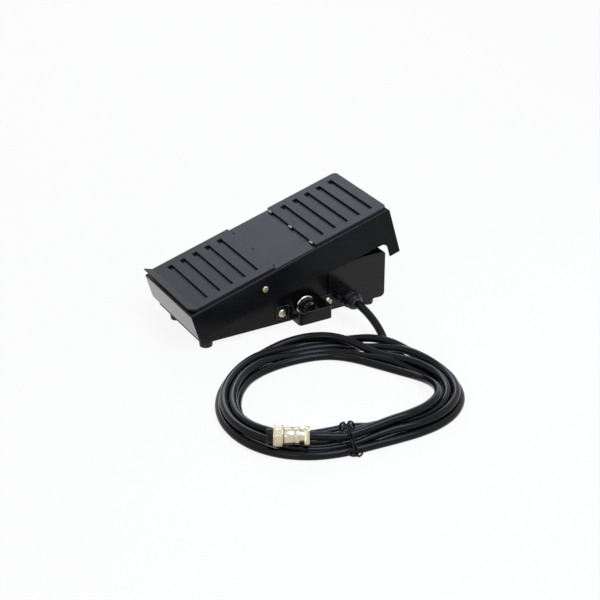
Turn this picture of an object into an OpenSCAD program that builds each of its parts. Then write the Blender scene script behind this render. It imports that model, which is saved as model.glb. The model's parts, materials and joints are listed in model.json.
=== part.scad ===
// Foot pedal for a welding current control: a sprung treadle over a sheet-steel base,
// with a side knob, a cable gland, a coiled control cable and its round plug.
// Sizes are in millimetres. X runs across the pedal, Y from the low front to the high rear, Z up.

/* [Sheet] */
// Thickness of the folded sheet
sheet_t = 1.5; // [1.2:0.1:1.8]
// Outside radius of the folds
bend_r = 3; // [2.5:0.1:4]
// Gap between the base and a skirt of the treadle
skirt_gap = 1; // [1:0.1:2]

/* [Treadle] */
// Length of the treadle along its slope
treadle_l = 230; // [225:1:245]
// Width of the treadle over its skirts
treadle_w = 105; // [100:1:112]
// Slope of the treadle at rest, in degrees
treadle_slope = 16; // [15:0.5:17]
// Height of the treadle's front edge above the floor
front_h = 40.5; // [39.5:0.5:43]
// Depth of the front flange
flange_d = 28.5; // [24:0.5:30]
// Depth of the skirts ahead of the rear legs
skirt_d = 35; // [32:0.5:37]
// Depth of the rear legs and of the rear flange between them
leg_d = 52; // [46:0.5:56]
// Width of a rear leg, seen from the side
leg_w = 12; // [10:0.5:16]
// Radius of the notch ahead of a rear leg
notch_r = 7; // [4:0.5:9]
// Largest press of the treadle, in degrees
press_angle = 11; // [8:0.5:11]

/* [Pivot] */
// Distance of the pivot from the treadle's front edge, along the slope
pivot_along = 80; // [76:0.5:82]
// Depth of the pivot below the treadle's top
pivot_down = 13.3; // [12.5:0.1:14.5]
// Radius of the pivot shaft
shaft_r = 4; // [3:0.5:5]
// Radius of the head of a pivot screw
pivot_head_r = 3.2; // [2.8:0.1:4]
// Height of the head of a pivot screw
pivot_head_h = 1.8; // [1.2:0.1:2.4]
// Radius of the shank of a pivot screw
pivot_screw_r = 1.7; // [1.2:0.1:2]
// Length of the shank of a pivot screw
pivot_screw_l = 10; // [8:0.5:14]
// Outside radius of a pivot bush
bush_r = 6; // [5.8:0.1:6.2]
// Length of a pivot bush inside the base
bush_l = 6; // [4:0.5:10]
// Radius of the collar of a pivot bush
bush_collar_r = 8; // [7:0.1:9]
// Thickness of the collar of a pivot bush
bush_collar_t = 0.7; // [0.5:0.1:0.7]

/* [Tread pads] */
// Width of the treadle's top that a pad leaves bare at each side
pad_side = 2.5; // [1.5:0.1:5]
// Thickness of the tread pads
pad_t = 2.5; // [2:0.1:3]
// Distance of the front pad's lip fold from the treadle's front edge
lip_fold = 8.5; // [8:0.1:10]
// Inside radius of the lip
lip_r = 5.5; // [4.5:0.1:5.5]
// Turn of the lip, in degrees
lip_angle = 60; // [45:1:65]
// Length of the front pad behind its lip
front_pad_l = 88.5; // [86:0.5:95]
// Length of the rear pad
rear_pad_l = 84; // [80:0.5:88]
// Distance of the rear pad from the treadle's rear end
rear_pad_gap = 1; // [1:0.1:3]
// Corner radius at the rear of the rear pad
pad_corner_r = 5; // [3:0.5:8]
// Distance of a tread slot's ends from the pad's sides
slot_margin = 9.5; // [6:0.5:14]
// Width of a tread slot
slot_w = 5.5; // [4:0.1:7]
// Spacing of the tread slots
slot_pitch = 14.4; // [13:0.1:15]
// Number of slots in a pad
slot_count = 5; // [3:1:5]
// Distance of the first slot from the front pad's fold
front_slot = 12.3; // [10:0.1:14]
// Distance of the first slot from the rear pad's front edge
rear_slot = 10; // [8:0.1:12]
// Width of a pad tab
tab_w = 6; // [4:0.5:8]
// Thickness of a pad tab
tab_t = 1.8; // [1.2:0.1:2]
// Reach of a pad tab below the treadle's top
tab_d = 3.5; // [2.5:0.1:4.5]
// Distance of the outer tabs' middles from the pad's sides
tab_margin = 8; // [6:0.5:14]

/* [Base] */
// Height of the feet
foot_h = 6; // [5:0.5:7]
// Radius of a foot at its top
foot_r = 7; // [6:0.1:7.5]
// Radius of a foot at the floor
foot_floor_r = 6.2; // [5:0.1:7]
// Distance of the base behind the treadle's front edge
base_front = 12; // [11.5:0.5:14]
// Distance of the base's rear ahead of the treadle's upper rear edge
base_rear_gap = 1.5; // [1:0.1:4]
// Radius of the base's front corners
base_corner_r = 5; // [4:0.5:7]
// Height of the pan's front wall
front_wall_h = 14; // [8:0.5:18]
// Height of the pan's ears above the pivot
ear_h = 6.5; // [6.5:0.1:7.5]
// Length of the pan's ears ahead of the pivot
ear_lead = 10; // [9:0.5:14]
// Distance of the front feet from the base's front
front_foot_y = 7.4; // [7:0.1:10]
// Distance of the rear feet from the base's rear
rear_foot_y = 17; // [15:0.5:19]
// Distance of the corner feet from the base's sides
foot_side = 6.5; // [6:0.5:9]
// Distance of the inboard front foot from the base's far side
inboard_foot_side = 28.5; // [24:0.5:32]
// Radius of the shank of a small screw
screw_r = 1.5; // [1.2:0.1:1.6]
// Radius of the head of a small screw
screw_head_r = 2.8; // [2.4:0.1:3]
// Height of the head of a small screw
screw_head_h = 1.7; // [1.2:0.1:2]
// Radius of a foot nut over its corners
foot_nut_r = 3.2; // [2.8:0.1:3.6]
// Height of a foot nut
foot_nut_h = 2.4; // [1.6:0.1:3]
// Depth of the screw's recess in a foot
foot_recess = 3.2; // [2.6:0.1:3.8]

/* [Rear cover] */
// Length of the rear cover
cover_l = 66; // [64:0.5:68]
// Height of the rear cover's top above the floor
cover_top = 56.4; // [55.5:0.1:58]
// Gap between the pan's walls and the rear cover
seam_gap = 1.5; // [1:0.1:2]
// Radius of the rear cover's lower rear corners
cover_corner_r = 5; // [4.5:0.5:7]
// Width of the rear cover's inturned flanges
cover_flange_w = 10; // [9:0.5:12]
// Length of the rear cover's inturned flanges
cover_flange_l = 36; // [30:0.5:38]
// Radius of the rubber buffer
buffer_r = 8; // [6:0.5:9]
// Distance of the rubber buffer from the base's far side
buffer_side = 20; // [14:0.5:24]
// Distance of the rubber buffer from the base's rear
buffer_y = 14.6; // [12:0.1:20]
// Radius of the buffer's stem
buffer_stem_r = 3; // [2.5:0.1:4]
// Radius of the buffer's barb
buffer_barb_r = 4; // [3.5:0.1:5]

/* [Side knob] */
// Distance of the knob ahead of the rear cover
knob_lead = 28; // [27:0.1:29]
// Height of the knob's axis above the floor
knob_z = 20.5; // [19.5:0.1:22]
// Radius of the knob's bright skirt
knob_skirt_r = 10.5; // [9:0.1:11]
// Thickness of the knob's bright skirt
knob_skirt_t = 1.4; // [1.3:0.1:2]
// Radius of the flange at the foot of the knob
knob_flange_r = 10.1; // [9.5:0.1:10.3]
// Thickness of the flange at the foot of the knob
knob_flange_t = 2.4; // [2:0.1:2.8]
// Radius of the knob's grip
knob_r = 7.8; // [7.4:0.1:8.2]
// Length of the knob's flange and grip
knob_l = 7.4; // [7:0.1:9]
// Number of grooves round the knob
knob_grooves = 14; // [10:1:18]
// Radius of a knob groove
knob_groove_r = 1; // [0.6:0.1:1.2]
// Radius of the pointer mark on the knob
marker_r = 1.2; // [0.8:0.1:1.3]
// Depth of the pointer mark in the knob
marker_t = 0.8; // [0.5:0.1:1]
// Turn of the pointer mark from the top of the knob, in degrees
marker_turn = 23; // [15:1:30]
// Radius of a control's body behind the side knob
limit_pot_r = 8.5; // [8:0.1:10]
// Length of that control's body
limit_pot_l = 12; // [9:0.5:14]
// Radius of that control's threaded bush
limit_bush_r = 3.5; // [3.3:0.1:4]
// Length of that control's threaded bush
limit_bush_l = 5; // [4.5:0.1:5.5]
// Radius of that control's shaft
limit_shaft_r = 3; // [2.5:0.1:3]
// Radius of that control's nut over its corners
limit_nut_r = 5.8; // [5.2:0.1:6.4]
// Thickness of that control's nut
limit_nut_t = 2; // [1.5:0.1:2.2]

/* [Knob guard] */
// Reach of the guard beyond the base
guard_reach = 24; // [22:0.5:26]
// Height of the guard strip
guard_h = 13.5; // [11:0.5:15]
// Height of the guard's middle above the floor
guard_z = 18.2; // [17.5:0.1:19]
// Length of the guard's raised part
guard_hat_l = 37; // [35:0.5:39]
// Distance between the guard's screws
guard_pitch = 52.6; // [52:0.1:54]
// Length of a guard tab beyond its screw
guard_tab_l = 6.4; // [5.5:0.1:6.6]
// Radius of the head of a guard screw
guard_head_r = 4; // [3.4:0.1:4.2]
// Height of the head of a guard screw
guard_head_h = 2.6; // [2:0.1:3]
// Radius of the shank of a guard screw
guard_screw_r = 1.9; // [1.5:0.1:2]
// Length of the shank of a guard screw
guard_screw_l = 8; // [6:0.5:10]

/* [Cable gland] */
// Distance of the gland behind the rear cover's front edge
gland_lead = 14; // [13.8:0.1:16]
// Height of the gland's axis above the floor
gland_z = 24.5; // [24:0.1:25]
// Radius of the gland's hexagons over their corners
gland_hex_r = 10; // [9:0.1:10]
// Thickness of the gland body's hexagon
gland_hex_t = 9; // [8:0.1:9.5]
// Radius of the gland's collar
gland_collar_r = 8.4; // [7.8:0.1:8.6]
// Length of the gland's collar
gland_collar_l = 4; // [3:0.1:4.5]
// Radius of the gland's thread
gland_thread_r = 7.6; // [7:0.1:8]
// Length of the gland's thread inside the cover
gland_thread_l = 10; // [8:0.5:12]
// Length of the gland nut's hexagon
gland_nut_l = 12; // [11:0.1:12.5]
// Length of the gland nut's dome
gland_dome_l = 5.5; // [5:0.1:6.5]
// Radius of the gland nut's dome at its foot
gland_dome_r = 8.6; // [8.2:0.1:8.8]
// Radius of the gland nut's nose
gland_nose_r = 6.3; // [6.2:0.1:7]
// Length of the gland nut's nose
gland_nose_l = 1.5; // [1:0.1:2]
// Thickness of the gland's locknut
locknut_t = 3.5; // [3:0.1:4.5]
// Radius of the gland's locknut over its corners
locknut_r = 11; // [10:0.1:11.5]

/* [Current drive] */
// Module of the gear teeth
gear_module = 1; // [0.97:0.01:1.03]
// Distance of the pinion's axis ahead of the base's rear
pinion_back = 32.3; // [31:0.1:33]
// Teeth of the pinion
pinion_teeth = 14; // [13:1:15]
// Pressure angle of the teeth, in degrees
gear_pressure = 20; // [20:1:22]
// Play between the teeth
gear_play = 0.24; // [0.2:0.01:0.3]
// Direction from the pivot to the pinion below the level, in degrees
mesh_drop = 4; // [3:0.5:5]
// Thickness of the sector gear
sector_t = 3; // [2:0.5:4]
// Distance of the sector gear from the middle, on the far side
sector_x = 7; // [6:0.5:8]
// Length of the pinion
pinion_l = 6; // [5:0.5:6]
// Radius of the control's shaft
pot_shaft_r = 3; // [2.5:0.1:3.2]
// Radius of the control's threaded bush
pot_bush_r = 4.5; // [4.2:0.1:5]
// Radius of the control's body
pot_r = 10; // [8:0.5:11]
// Length of the control's body
pot_l = 10; // [8:0.5:12]
// Radius of the control's nut over its corners
pot_nut_r = 6.8; // [6:0.1:7]
// Thickness of the control's nut
pot_nut_t = 2.2; // [1.5:0.1:2.4]
// Thickness of the brackets
bracket_t = 2; // [1.5:0.1:2.5]
// Width of the control's bracket
pot_bracket_w = 26; // [24:0.5:30]
// Width of a bracket's foot
bracket_foot_w = 14; // [12:0.5:16]
// Radius of the stop pin
stop_pin_r = 2.5; // [2:0.1:2.8]
// Distance of the stop pin inside the sector's pitch circle
stop_pin_in = 9; // [8:0.1:9.5]
// Length of the stop pin
stop_pin_l = 13; // [12:0.5:13.5]

/* [Start switch] */
// Direction from the pivot to the switch below the level, in degrees
switch_drop = 8; // [7:0.5:9]
// Distance of the cam edge inside the sector's pitch circle, at the switch
sector_rim = 14; // [13.5:0.1:15]
// Rise of the cam edge over the whole press
cam_rise = 1.3; // [0.8:0.1:1.5]
// Length of the switch's case
switch_l = 20; // [18:0.5:22]
// Depth of the switch's case
switch_d = 10.2; // [9:0.1:11]
// Thickness of the switch's case
switch_t = 6.4; // [5:0.1:7]
// Radius of the switch's plunger
plunger_r = 1.3; // [1:0.1:1.6]
// Reach of the plunger out of the case
plunger_out = 2.5; // [2.2:0.1:3.5]

/* [Return spring] */
// Distance of the return spring behind the base's front
spring_y = 106; // [104:0.5:110]
// Middle radius of the return spring
spring_r = 8; // [7.5:0.1:9]
// Radius of the spring's wire
wire_r = 0.9; // [0.7:0.1:1]
// Turns of the return spring
spring_turns = 8; // [6:1:9]
// Radius of the spring's seat and cap
spring_seat_r = 11; // [10.5:0.1:12]
// Radius of the bosses inside the spring
spring_boss_r = 5.5; // [4:0.1:6]

/* [Cable and plug] */
// Radius of the cable
cable_r = 4; // [3.5:0.1:4]
// Width of the cable's coil at its front, where the turns lie side by side
coil_w = 45; // [42:0.5:48]
// Width of the cable's coil at its left, where the turns are stacked
coil_tight_w = 25; // [24:0.5:28]
// Radius of the plug's coupling ring
ring_r = 9.6; // [9:0.1:10]
// Length of the plug's coupling ring
ring_l = 9; // [8:0.1:10]
// Radius of the plug's insert
insert_r = 6.8; // [6.2:0.1:6.8]
// Reach of the insert out of the coupling ring
insert_out = 6; // [5:0.1:7]
// Radius of the plug's shell
shell_r = 7.7; // [7.4:0.1:8.4]
// Length of the plug's shell behind the ring
shell_l = 14; // [12:0.5:16]
// Length of the plug's cable clamp
clamp_l = 8.4; // [7.5:0.1:10]
// Radius of the plug's cable clamp
clamp_r = 7.2; // [6.6:0.1:7.6]
// Slope angle of the plug seen from above, in degrees
plug_heading = 60; // [50:1:70]

/* [Hidden] */
$fn = 48;

// Clearances: of still fits, of turning shafts, and between faces that pass each other
fit_gap = 0.1;
run_gap = 0.05;
pass_gap = 0.3;

// The base's faces
half_w = treadle_w / 2;
base_x = half_w - sheet_t - skirt_gap;
wall_in = base_x - sheet_t;
floor_top = foot_h + sheet_t;
base_rear = treadle_l * cos(treadle_slope) - base_rear_gap;
cover_front = base_rear - cover_l;
wall_rear = cover_front - seam_gap;

// The pivot axis
pivot_y = pivot_along * cos(treadle_slope) + pivot_down * sin(treadle_slope);
pivot_z = front_h + pivot_along * sin(treadle_slope) - pivot_down * cos(treadle_slope);
wall_top = pivot_z + ear_h;

// Height of the treadle's underside, at rest and fully pressed
function under_rest(y) = front_h + y * tan(treadle_slope) - sheet_t / cos(treadle_slope);
pressed_slope = treadle_slope - press_angle;
function under_pressed(y) =
    pivot_z + (pivot_down - sheet_t) / cos(pressed_slope) + (y - pivot_y) * tan(pressed_slope);

// The tread pads on the treadle
pad_w = treadle_w - 2 * pad_side;
slot_l = pad_w - 2 * slot_margin;
tab_x = pad_w / 2 - tab_margin;
front_pad_end = lip_fold + front_pad_l;
rear_pad_start = treadle_l - rear_pad_gap - rear_pad_l;
lip_tab_y = lip_fold - lip_r / 2 - tab_t / 2;
tab_rows = [lip_tab_y, front_pad_end, rear_pad_start - tab_t];

// The side knob, its guard and the gland
knob_y = cover_front - knob_lead;
guard_x = base_x + guard_reach;
guard_ys = [knob_y - guard_pitch / 2, knob_y + guard_pitch / 2];
guard_low = guard_z - guard_h / 2;
tongue_margin = 1.2;
tongue_gap = 1;
tongue_end = guard_ys[1] + guard_tab_l - 2 * tongue_margin;
knob_base_x = base_x + limit_nut_t + 2 * pass_gap;
knob_body_x = knob_base_x + knob_skirt_t;
knob_grip_x = knob_body_x + knob_flange_t;
knob_face_x = knob_body_x + knob_l;
knob_skirt_taper = 0.4;
knob_chamfer = 0.8;
knob_cap = 2.4;
marker_edge = 0.9;
gland_y = cover_front + gland_lead;
gland_collar_x = base_x + gland_hex_t;
gland_nut_x = gland_collar_x + gland_collar_l;
gland_dome_x = gland_nut_x + gland_nut_l;
gland_nose_x = gland_dome_x + gland_dome_l;
gland_end_x = gland_nose_x + gland_nose_l;
gland_dome_flat = 1.2;
seal_t = 1.5;
seal_out = 0.6;
gland_seal_r = cable_r + seal_t;

// Solder lugs of the electrical pieces
lug = [0.8, 1.6, 6];
lug_pitch = 5;

// Feet, buffer and screws
foot_x = base_x - foot_side;
inboard_foot_x = base_x - inboard_foot_side;
buffer_x = base_x - buffer_side;
feet = [[foot_x, base_front + front_foot_y], [-inboard_foot_x, base_front + front_foot_y],
    [foot_x, base_rear - rear_foot_y], [-foot_x, base_rear - rear_foot_y]];
cover_screw_x = wall_in - cover_flange_w / 2;
cover_screw_edge = 4.5;
cover_screw_ys = [cover_front + cover_screw_edge, cover_front + cover_flange_l - cover_screw_edge];

// Gears: the pitch circles touch at the mesh angle
mesh_angle = -mesh_drop;
pinion_r = gear_module * pinion_teeth / 2;
pitch_r = (base_rear - pinion_back - pivot_y) / cos(mesh_angle) - pinion_r;
addendum = 0.75 * gear_module;
dedendum = gear_module;
tooth_step = 180 * gear_module / pitch_r;
sector_margin = 3;
sector_last = ceil(press_angle / tooth_step) + sector_margin;
sector_low = mesh_angle - (sector_margin + 1) * tooth_step;
sector_over = 16;
sector_high = treadle_slope + sector_over;
pinion_y = pivot_y + (pitch_r + pinion_r) * cos(mesh_angle);
pinion_z = pivot_z + (pitch_r + pinion_r) * sin(mesh_angle);
sector_x0 = -sector_x - sector_t / 2;
sector_flange = [22, 24, 2];
flange_lead = 8;
pinion_x0 = -sector_x - pinion_l / 2;
pinion_x1 = -sector_x + pinion_l / 2;
pot_bush_gap = 0.9;
pot_plate_x = pinion_x1 + pot_nut_t + 2 * pot_bush_gap;
stop_pin_z = cover_top - sheet_t - pass_gap - stop_pin_r;
stop_pin_reach = pitch_r - stop_pin_in;
stop_pin_angle = asin((stop_pin_z - pivot_z) / stop_pin_reach);
slot_side = 1.5;
slot_half = sector_t / 2 + slot_side;
slot_end = pivot_y + pitch_r + addendum + 2 * slot_side;

// Cam edge of the sector, a spiral that rises evenly with the angle
switch_angle = -switch_drop;
cam_reach = pitch_r - sector_rim;
function cam(a) = cam_reach + cam_rise * (a - switch_angle) / press_angle;
case_top = cam_reach - pass_gap - plunger_out;
switch_x0 = -sector_x - switch_t / 2;
switch_x1 = -sector_x + switch_t / 2;
switch_bracket_y = pivot_y + (case_top - switch_d) * cos(switch_angle);
switch_hole_z = switch_l / 4;
switch_hole_y = case_top - 0.7 * switch_d;
plunger_in = 3;
switch_hole_r = 1.2;
switch_screw_r = 1.1;
switch_head_r = 2;
small_head_h = 1.4;
bracket_edge = 5;
bracket_screw_reach = bracket_foot_w - bracket_edge;
pot_screw_y = pot_bracket_w / 2 - bracket_edge;
pot_bracket_ys = [pinion_y - pot_screw_y, pinion_y + pot_screw_y];
switch_bracket_w = 12;
switch_bracket_drop = 3;
switch_edge = 3;
switch_bracket_ys = [switch_bracket_y + switch_edge, switch_bracket_y + switch_bracket_w - switch_edge];

// Return spring
spring_at = base_front + spring_y;
seat_t = 2;
spring_boss_l = 6;
spring_low = floor_top + seat_t;
spring_cap_t = 3;
spring_high = under_rest(spring_at - spring_seat_r) - spring_cap_t;

// Cable route from inside the gland to the coil, and from the coil to the plug
lead_route = [[56, 167.6, 24.5], [68, 167.6, 24.5], [80, 167.6, 24.5], [88, 168.2, 23.8],
    [96, 169.3, 21.6], [103.5, 170.5, 18.4], [110.5, 171.3, 14.8], [117.5, 171.4, 11.2],
    [124.5, 170.5, 8], [132, 168.6, 5.6], [140, 166.4, 4.3], [149, 165.3, 4]];
tail_route = [[256.5, 4.6, 17.9], [261, 13.2, 17.9], [265.4, 22.9, 16.8], [268.9, 33.2, 15.1],
    [270.8, 41.2, 12.4]];
cable_sides = 12;

// Coil: a wavy oval, wide at its front and far side and narrow where its turns are stacked
coil_at = [189, 75];
coil_mean_r = 107.9;
// Each wave of the edge: its size, its count round the coil and its turn
coil_waves = [[3, 1, 38], [5.7, 2, 85], [6.2, 3, 52], [1.8, 4, -36]];
coil_front = -30;
coil_right = 60;
coil_inner_w = 9.3;
function coil_wave(a, i = 0) = i == len(coil_waves) ? 0
    : coil_waves[i][0] * cos(coil_waves[i][1] * (a - coil_waves[i][2])) + coil_wave(a, i + 1);
function coil_out(a) = coil_mean_r + coil_wave(a);
function coil_width(a) = (coil_w + coil_tight_w + (coil_w - coil_tight_w) * cos(2 * (a - coil_front))) / 2
    + coil_inner_w * max(0, cos(a - coil_right));
function coil_inset(a) = (coil_width(a) - 2 * cable_r) / 4;
coil_h = 2 * cable_r;
upper_h = 15.4;
right_upper = [-24, 125];
left_upper = [190, 282];
tie_angle = -18;
tie_wire = 2;
tie_gap = 1.8;
tie_bend = 5;
tie_apart = 3;
tie_notch_w = 12;
tie_notch_over = 10;
tie_notch = [coil_width(tie_angle) + 2 * tie_notch_over, tie_notch_w, tie_wire + fit_gap];

// Plug: its tip and the places along its axis
plug_tip = [241.5, -21.4, coil_h + ring_r + pass_gap];
ring_end = insert_out + ring_l;
shell_end = ring_end + shell_l;
clamp_end = shell_end + clamp_l;
collar_l = 3;
ring_bore_r = insert_r + pass_gap;
clamp_split = 1;
clamp_ear = [6, 3, 7.6];
clamp_head_r = 1.9;
clamp_screw_r = 1.2;
clamp_screw_y = clamp_r + 0.9;

// The frame's origin lies under the middle of the pedal, its guard included
lip_tip = [lip_fold - (lip_r + pad_t) * sin(lip_angle), (lip_r + pad_t) * (1 - cos(lip_angle))];
front_reach = lip_tip[0] * cos(treadle_slope) - lip_tip[1] * sin(treadle_slope);
rear_reach = treadle_l * cos(treadle_slope) + leg_d * sin(treadle_slope);
frame_x = (guard_x - half_w - pivot_head_h) / 2;
frame_y = (front_reach + rear_reach) / 2;

black_coat = "#26282b";
pad_grey = "#3a3d42";
steel = "#b9b6ad";
rubber = "#1c1c1d";
plastic = "#17181a";

// Placing helpers
module place() {
    translate([-frame_x, -frame_y, 0]) children();
}

module on_treadle() {
    translate([0, 0, front_h]) rotate([treadle_slope, 0, 0]) children();
}

module at_pivot(angle = 0) {
    translate([0, pivot_y, pivot_z]) rotate([angle, 0, 0]) children();
}

module on_plug() {
    translate(plug_tip) rotate([0, 0, plug_heading]) children();
}

// Solids from an outline: along X the outline is drawn in Y and Z, along Y in X and Z
module along_x(x0, x1) {
    translate([x0, 0, 0]) rotate([90, 0, 90]) linear_extrude(x1 - x0) children();
}

module along_y(y0, y1) {
    translate([0, y1, 0]) rotate([90, 0, 0]) linear_extrude(y1 - y0) children();
}

module rod_x(x0, x1, r) {
    translate([x0, 0, 0]) rotate([0, 90, 0]) cylinder(h = x1 - x0, r = r);
}

module cone_x(x0, x1, r0, r1) {
    translate([x0, 0, 0]) rotate([0, 90, 0]) cylinder(h = x1 - x0, r1 = r0, r2 = r1);
}

// Dome along X: straight for its first part, then round down to the radius of its tip
module dome_x(x0, x1, r, tip_r, flat) {
    rise = x1 - x0 - flat;
    drop = r - tip_r;
    arc_r = (rise * rise + drop * drop) / (2 * drop);
    translate([x0, 0, 0]) rotate([0, 90, 0]) rotate_extrude() intersection() {
        translate([r - arc_r, flat]) circle(arc_r);
        square([r, x1 - x0]);
    }
    rod_x(x0, x0 + flat, r);
}

module hex_x(x0, x1, r) {
    translate([x0, 0, 0]) rotate([0, 90, 0]) cylinder(h = x1 - x0, r = r, $fn = 6);
}

// Rectangle whose two upper corners are round
module arch(x0, x1, low, high, r) {
    translate([x0, low]) square([x1 - x0, high - r - low]);
    translate([x0 + r, low]) square([x1 - x0 - 2 * r, high - low]);
    for (x = [x0 + r, x1 - r]) {
        translate([x, high - r]) circle(r);
    }
}

// Screw whose head rests on z = 0 and whose shank runs down
module pan_screw(head_r, head_h, shank_r, shank_l) {
    cylinder(h = head_h / 2, r = head_r);
    translate([0, 0, head_h / 2]) cylinder(h = head_h / 2, r1 = head_r, r2 = 0.7 * head_r);
    translate([0, 0, -shank_l]) cylinder(h = shank_l, r = shank_r);
}

// Small screw that comes up from below the pan
module screw_from_below(x, y, length) {
    translate([x, y, foot_h]) rotate([180, 0, 0])
        pan_screw(screw_head_r, screw_head_h, screw_r, length);
}

module drill_up(x, y, r, from, to) {
    translate([x, y, from]) cylinder(h = to - from, r = r);
}

// Round tube swept along points, one closed solid
function unit(v) = v / norm(v);
function heading(p, i) = unit(p[min(i + 1, len(p) - 1)] - p[max(i - 1, 0)]);
function ring_points(c, t, up, r, n) =
    let (a = unit(cross(up, t)), b = cross(t, a))
    [for (k = [0:n - 1]) c + r * (cos(360 * k / n) * a + sin(360 * k / n) * b)];

module tube(p, r, n, up) {
    last = len(p) - 1;
    points = [for (i = [0:last]) each ring_points(p[i], heading(p, i), up, r, n)];
    walls = [for (i = [0:last - 1], k = [0:n - 1])
        let (a = i * n + k, b = i * n + (k + 1) % n) each [[a, a + n, b + n], [a, b + n, b]]];
    ends = [[for (k = [0:n - 1]) k], [for (k = [n - 1:-1:0]) last * n + k]];
    polyhedron(points = points, faces = concat(walls, ends));
}

// Treadle
module tray(inset, low) {
    intersection() {
        along_y(inset, treadle_l - inset)
            arch(-half_w + inset, half_w - inset, low, -inset, bend_r - inset);
        along_x(-half_w, half_w) arch(inset, treadle_l - inset, low, -inset, bend_r - inset);
    }
}

module skirt_outline() {
    notch_y = treadle_l - leg_w - notch_r;
    low = -leg_d - 2;
    difference() {
        translate([0, -leg_d]) square([treadle_l, leg_d]);
        polygon([[-1, low], [notch_y, low], [notch_y, -skirt_d], [0, -flange_d], [-1, -flange_d]]);
        translate([notch_y - 1, low]) square([notch_r + 1, -low - skirt_d - notch_r]);
        translate([notch_y, -skirt_d - notch_r]) circle(notch_r);
    }
}

// Three hooks that reach down through the treadle's top, grown by a gap
module hooks(y, gap, high) {
    for (x = [-tab_x, 0, tab_x]) {
        translate([x - tab_w / 2 - gap, y - gap, -tab_d])
            cube([tab_w + 2 * gap, tab_t + 2 * gap, tab_d + high]);
    }
}

// The hooks' roots, which join them to a pad's edge
module hook_roots(edge) {
    for (x = [-tab_x, 0, tab_x]) {
        translate([x - tab_w / 2, edge - tab_t, 0]) cube([tab_w, 2 * tab_t, pad_t]);
    }
}

module treadle() {
    color(black_coat) place() difference() {
        on_treadle() difference() {
            intersection() {
                difference() {
                    tray(0, -leg_d - 1);
                    tray(sheet_t, -leg_d - 2);
                }
                along_x(-half_w - 1, half_w + 1) skirt_outline();
            }
            for (y = tab_rows) {
                hooks(y, fit_gap, 1);
            }
        }
        at_pivot() rod_x(-half_w - 1, half_w + 1, pivot_screw_r + fit_gap);
    }
}

// Tread pads
module slots(start) {
    for (i = [0:slot_count - 1]) {
        translate([-slot_l / 2, start + i * slot_pitch, -1]) cube([slot_l, slot_w, pad_t + 2]);
    }
}

module lip_outline() {
    wide = 2 * (lip_r + pad_t);
    translate([lip_fold, pad_t + lip_r]) intersection() {
        difference() {
            circle(lip_r + pad_t);
            circle(lip_r);
        }
        polygon([[0, 0], for (i = [0:2]) wide * [-sin(i * lip_angle / 2), -cos(i * lip_angle / 2)]]);
    }
}

module front_pad() {
    color(pad_grey) place() on_treadle() {
        difference() {
            translate([-pad_w / 2, lip_fold, 0]) cube([pad_w, front_pad_l, pad_t]);
            slots(lip_fold + front_slot);
        }
        along_x(-pad_w / 2, pad_w / 2) lip_outline();
        hooks(front_pad_end, 0, pad_t);
        hook_roots(front_pad_end);
        hooks(lip_tab_y, 0, pad_t / 2);
    }
}

module rear_pad() {
    color(pad_grey) place() on_treadle() {
        difference() {
            linear_extrude(pad_t)
                arch(-pad_w / 2, pad_w / 2, rear_pad_start, rear_pad_start + rear_pad_l, pad_corner_r);
            slots(rear_pad_start + rear_slot);
        }
        hooks(rear_pad_start - tab_t, 0, pad_t);
        hook_roots(rear_pad_start);
    }
}

// Pivot
module pivot_shaft() {
    end = half_w - sheet_t;
    color(steel) place() at_pivot() difference() {
        rod_x(-end, end, shaft_r);
        both_sides() rod_x(half_w - pivot_screw_l - 1, half_w, pivot_screw_r + fit_gap);
    }
}

// What is drawn on the near side, and again on the far side
module both_sides() {
    for (turn = [0, 180]) {
        rotate([0, 0, turn]) children();
    }
}

module pivot_screws() {
    color(steel) place() at_pivot() both_sides() translate([half_w, 0, 0]) rotate([0, 90, 0])
        pan_screw(pivot_head_r, pivot_head_h, pivot_screw_r, pivot_screw_l);
}

module pivot_bushes() {
    color("#d8d4c8") place() at_pivot() both_sides() difference() {
        union() {
            rod_x(base_x - bush_l, base_x, bush_r);
            rod_x(base_x, base_x + bush_collar_t, bush_collar_r);
        }
        rod_x(base_x - bush_l - 1, base_x + bush_collar_t + 1, shaft_r + run_gap);
    }
}

// Base pan
module pan_plan(inset) {
    mirror([0, 1])
        arch(-base_x + inset, base_x - inset, -base_rear, -base_front - inset, base_corner_r - inset);
}

module pan_side() {
    polygon([[base_front, foot_h], [wall_rear, foot_h], [wall_rear, wall_top],
        [pivot_y - ear_lead, wall_top], [base_front, foot_h + front_wall_h]]);
}

module pan_floor() {
    translate([0, 0, foot_h]) linear_extrude(sheet_t) {
        intersection() {
            pan_plan(0);
            translate([-base_x, 0]) square([2 * base_x, wall_rear]);
        }
        translate([-wall_in + fit_gap, wall_rear - 1])
            square([2 * (wall_in - fit_gap), base_rear - cover_corner_r - wall_rear + 1]);
    }
}

// Tongue of the near wall that carries the guard's rear screw across the seam, grown by a gap
module tongue(gap) {
    translate([wall_in - gap, wall_rear - 1, guard_low + tongue_margin - gap])
        cube([sheet_t + 2 * gap, tongue_end + gap - wall_rear + 1, guard_h - 2 * tongue_margin + 2 * gap]);
}

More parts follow.
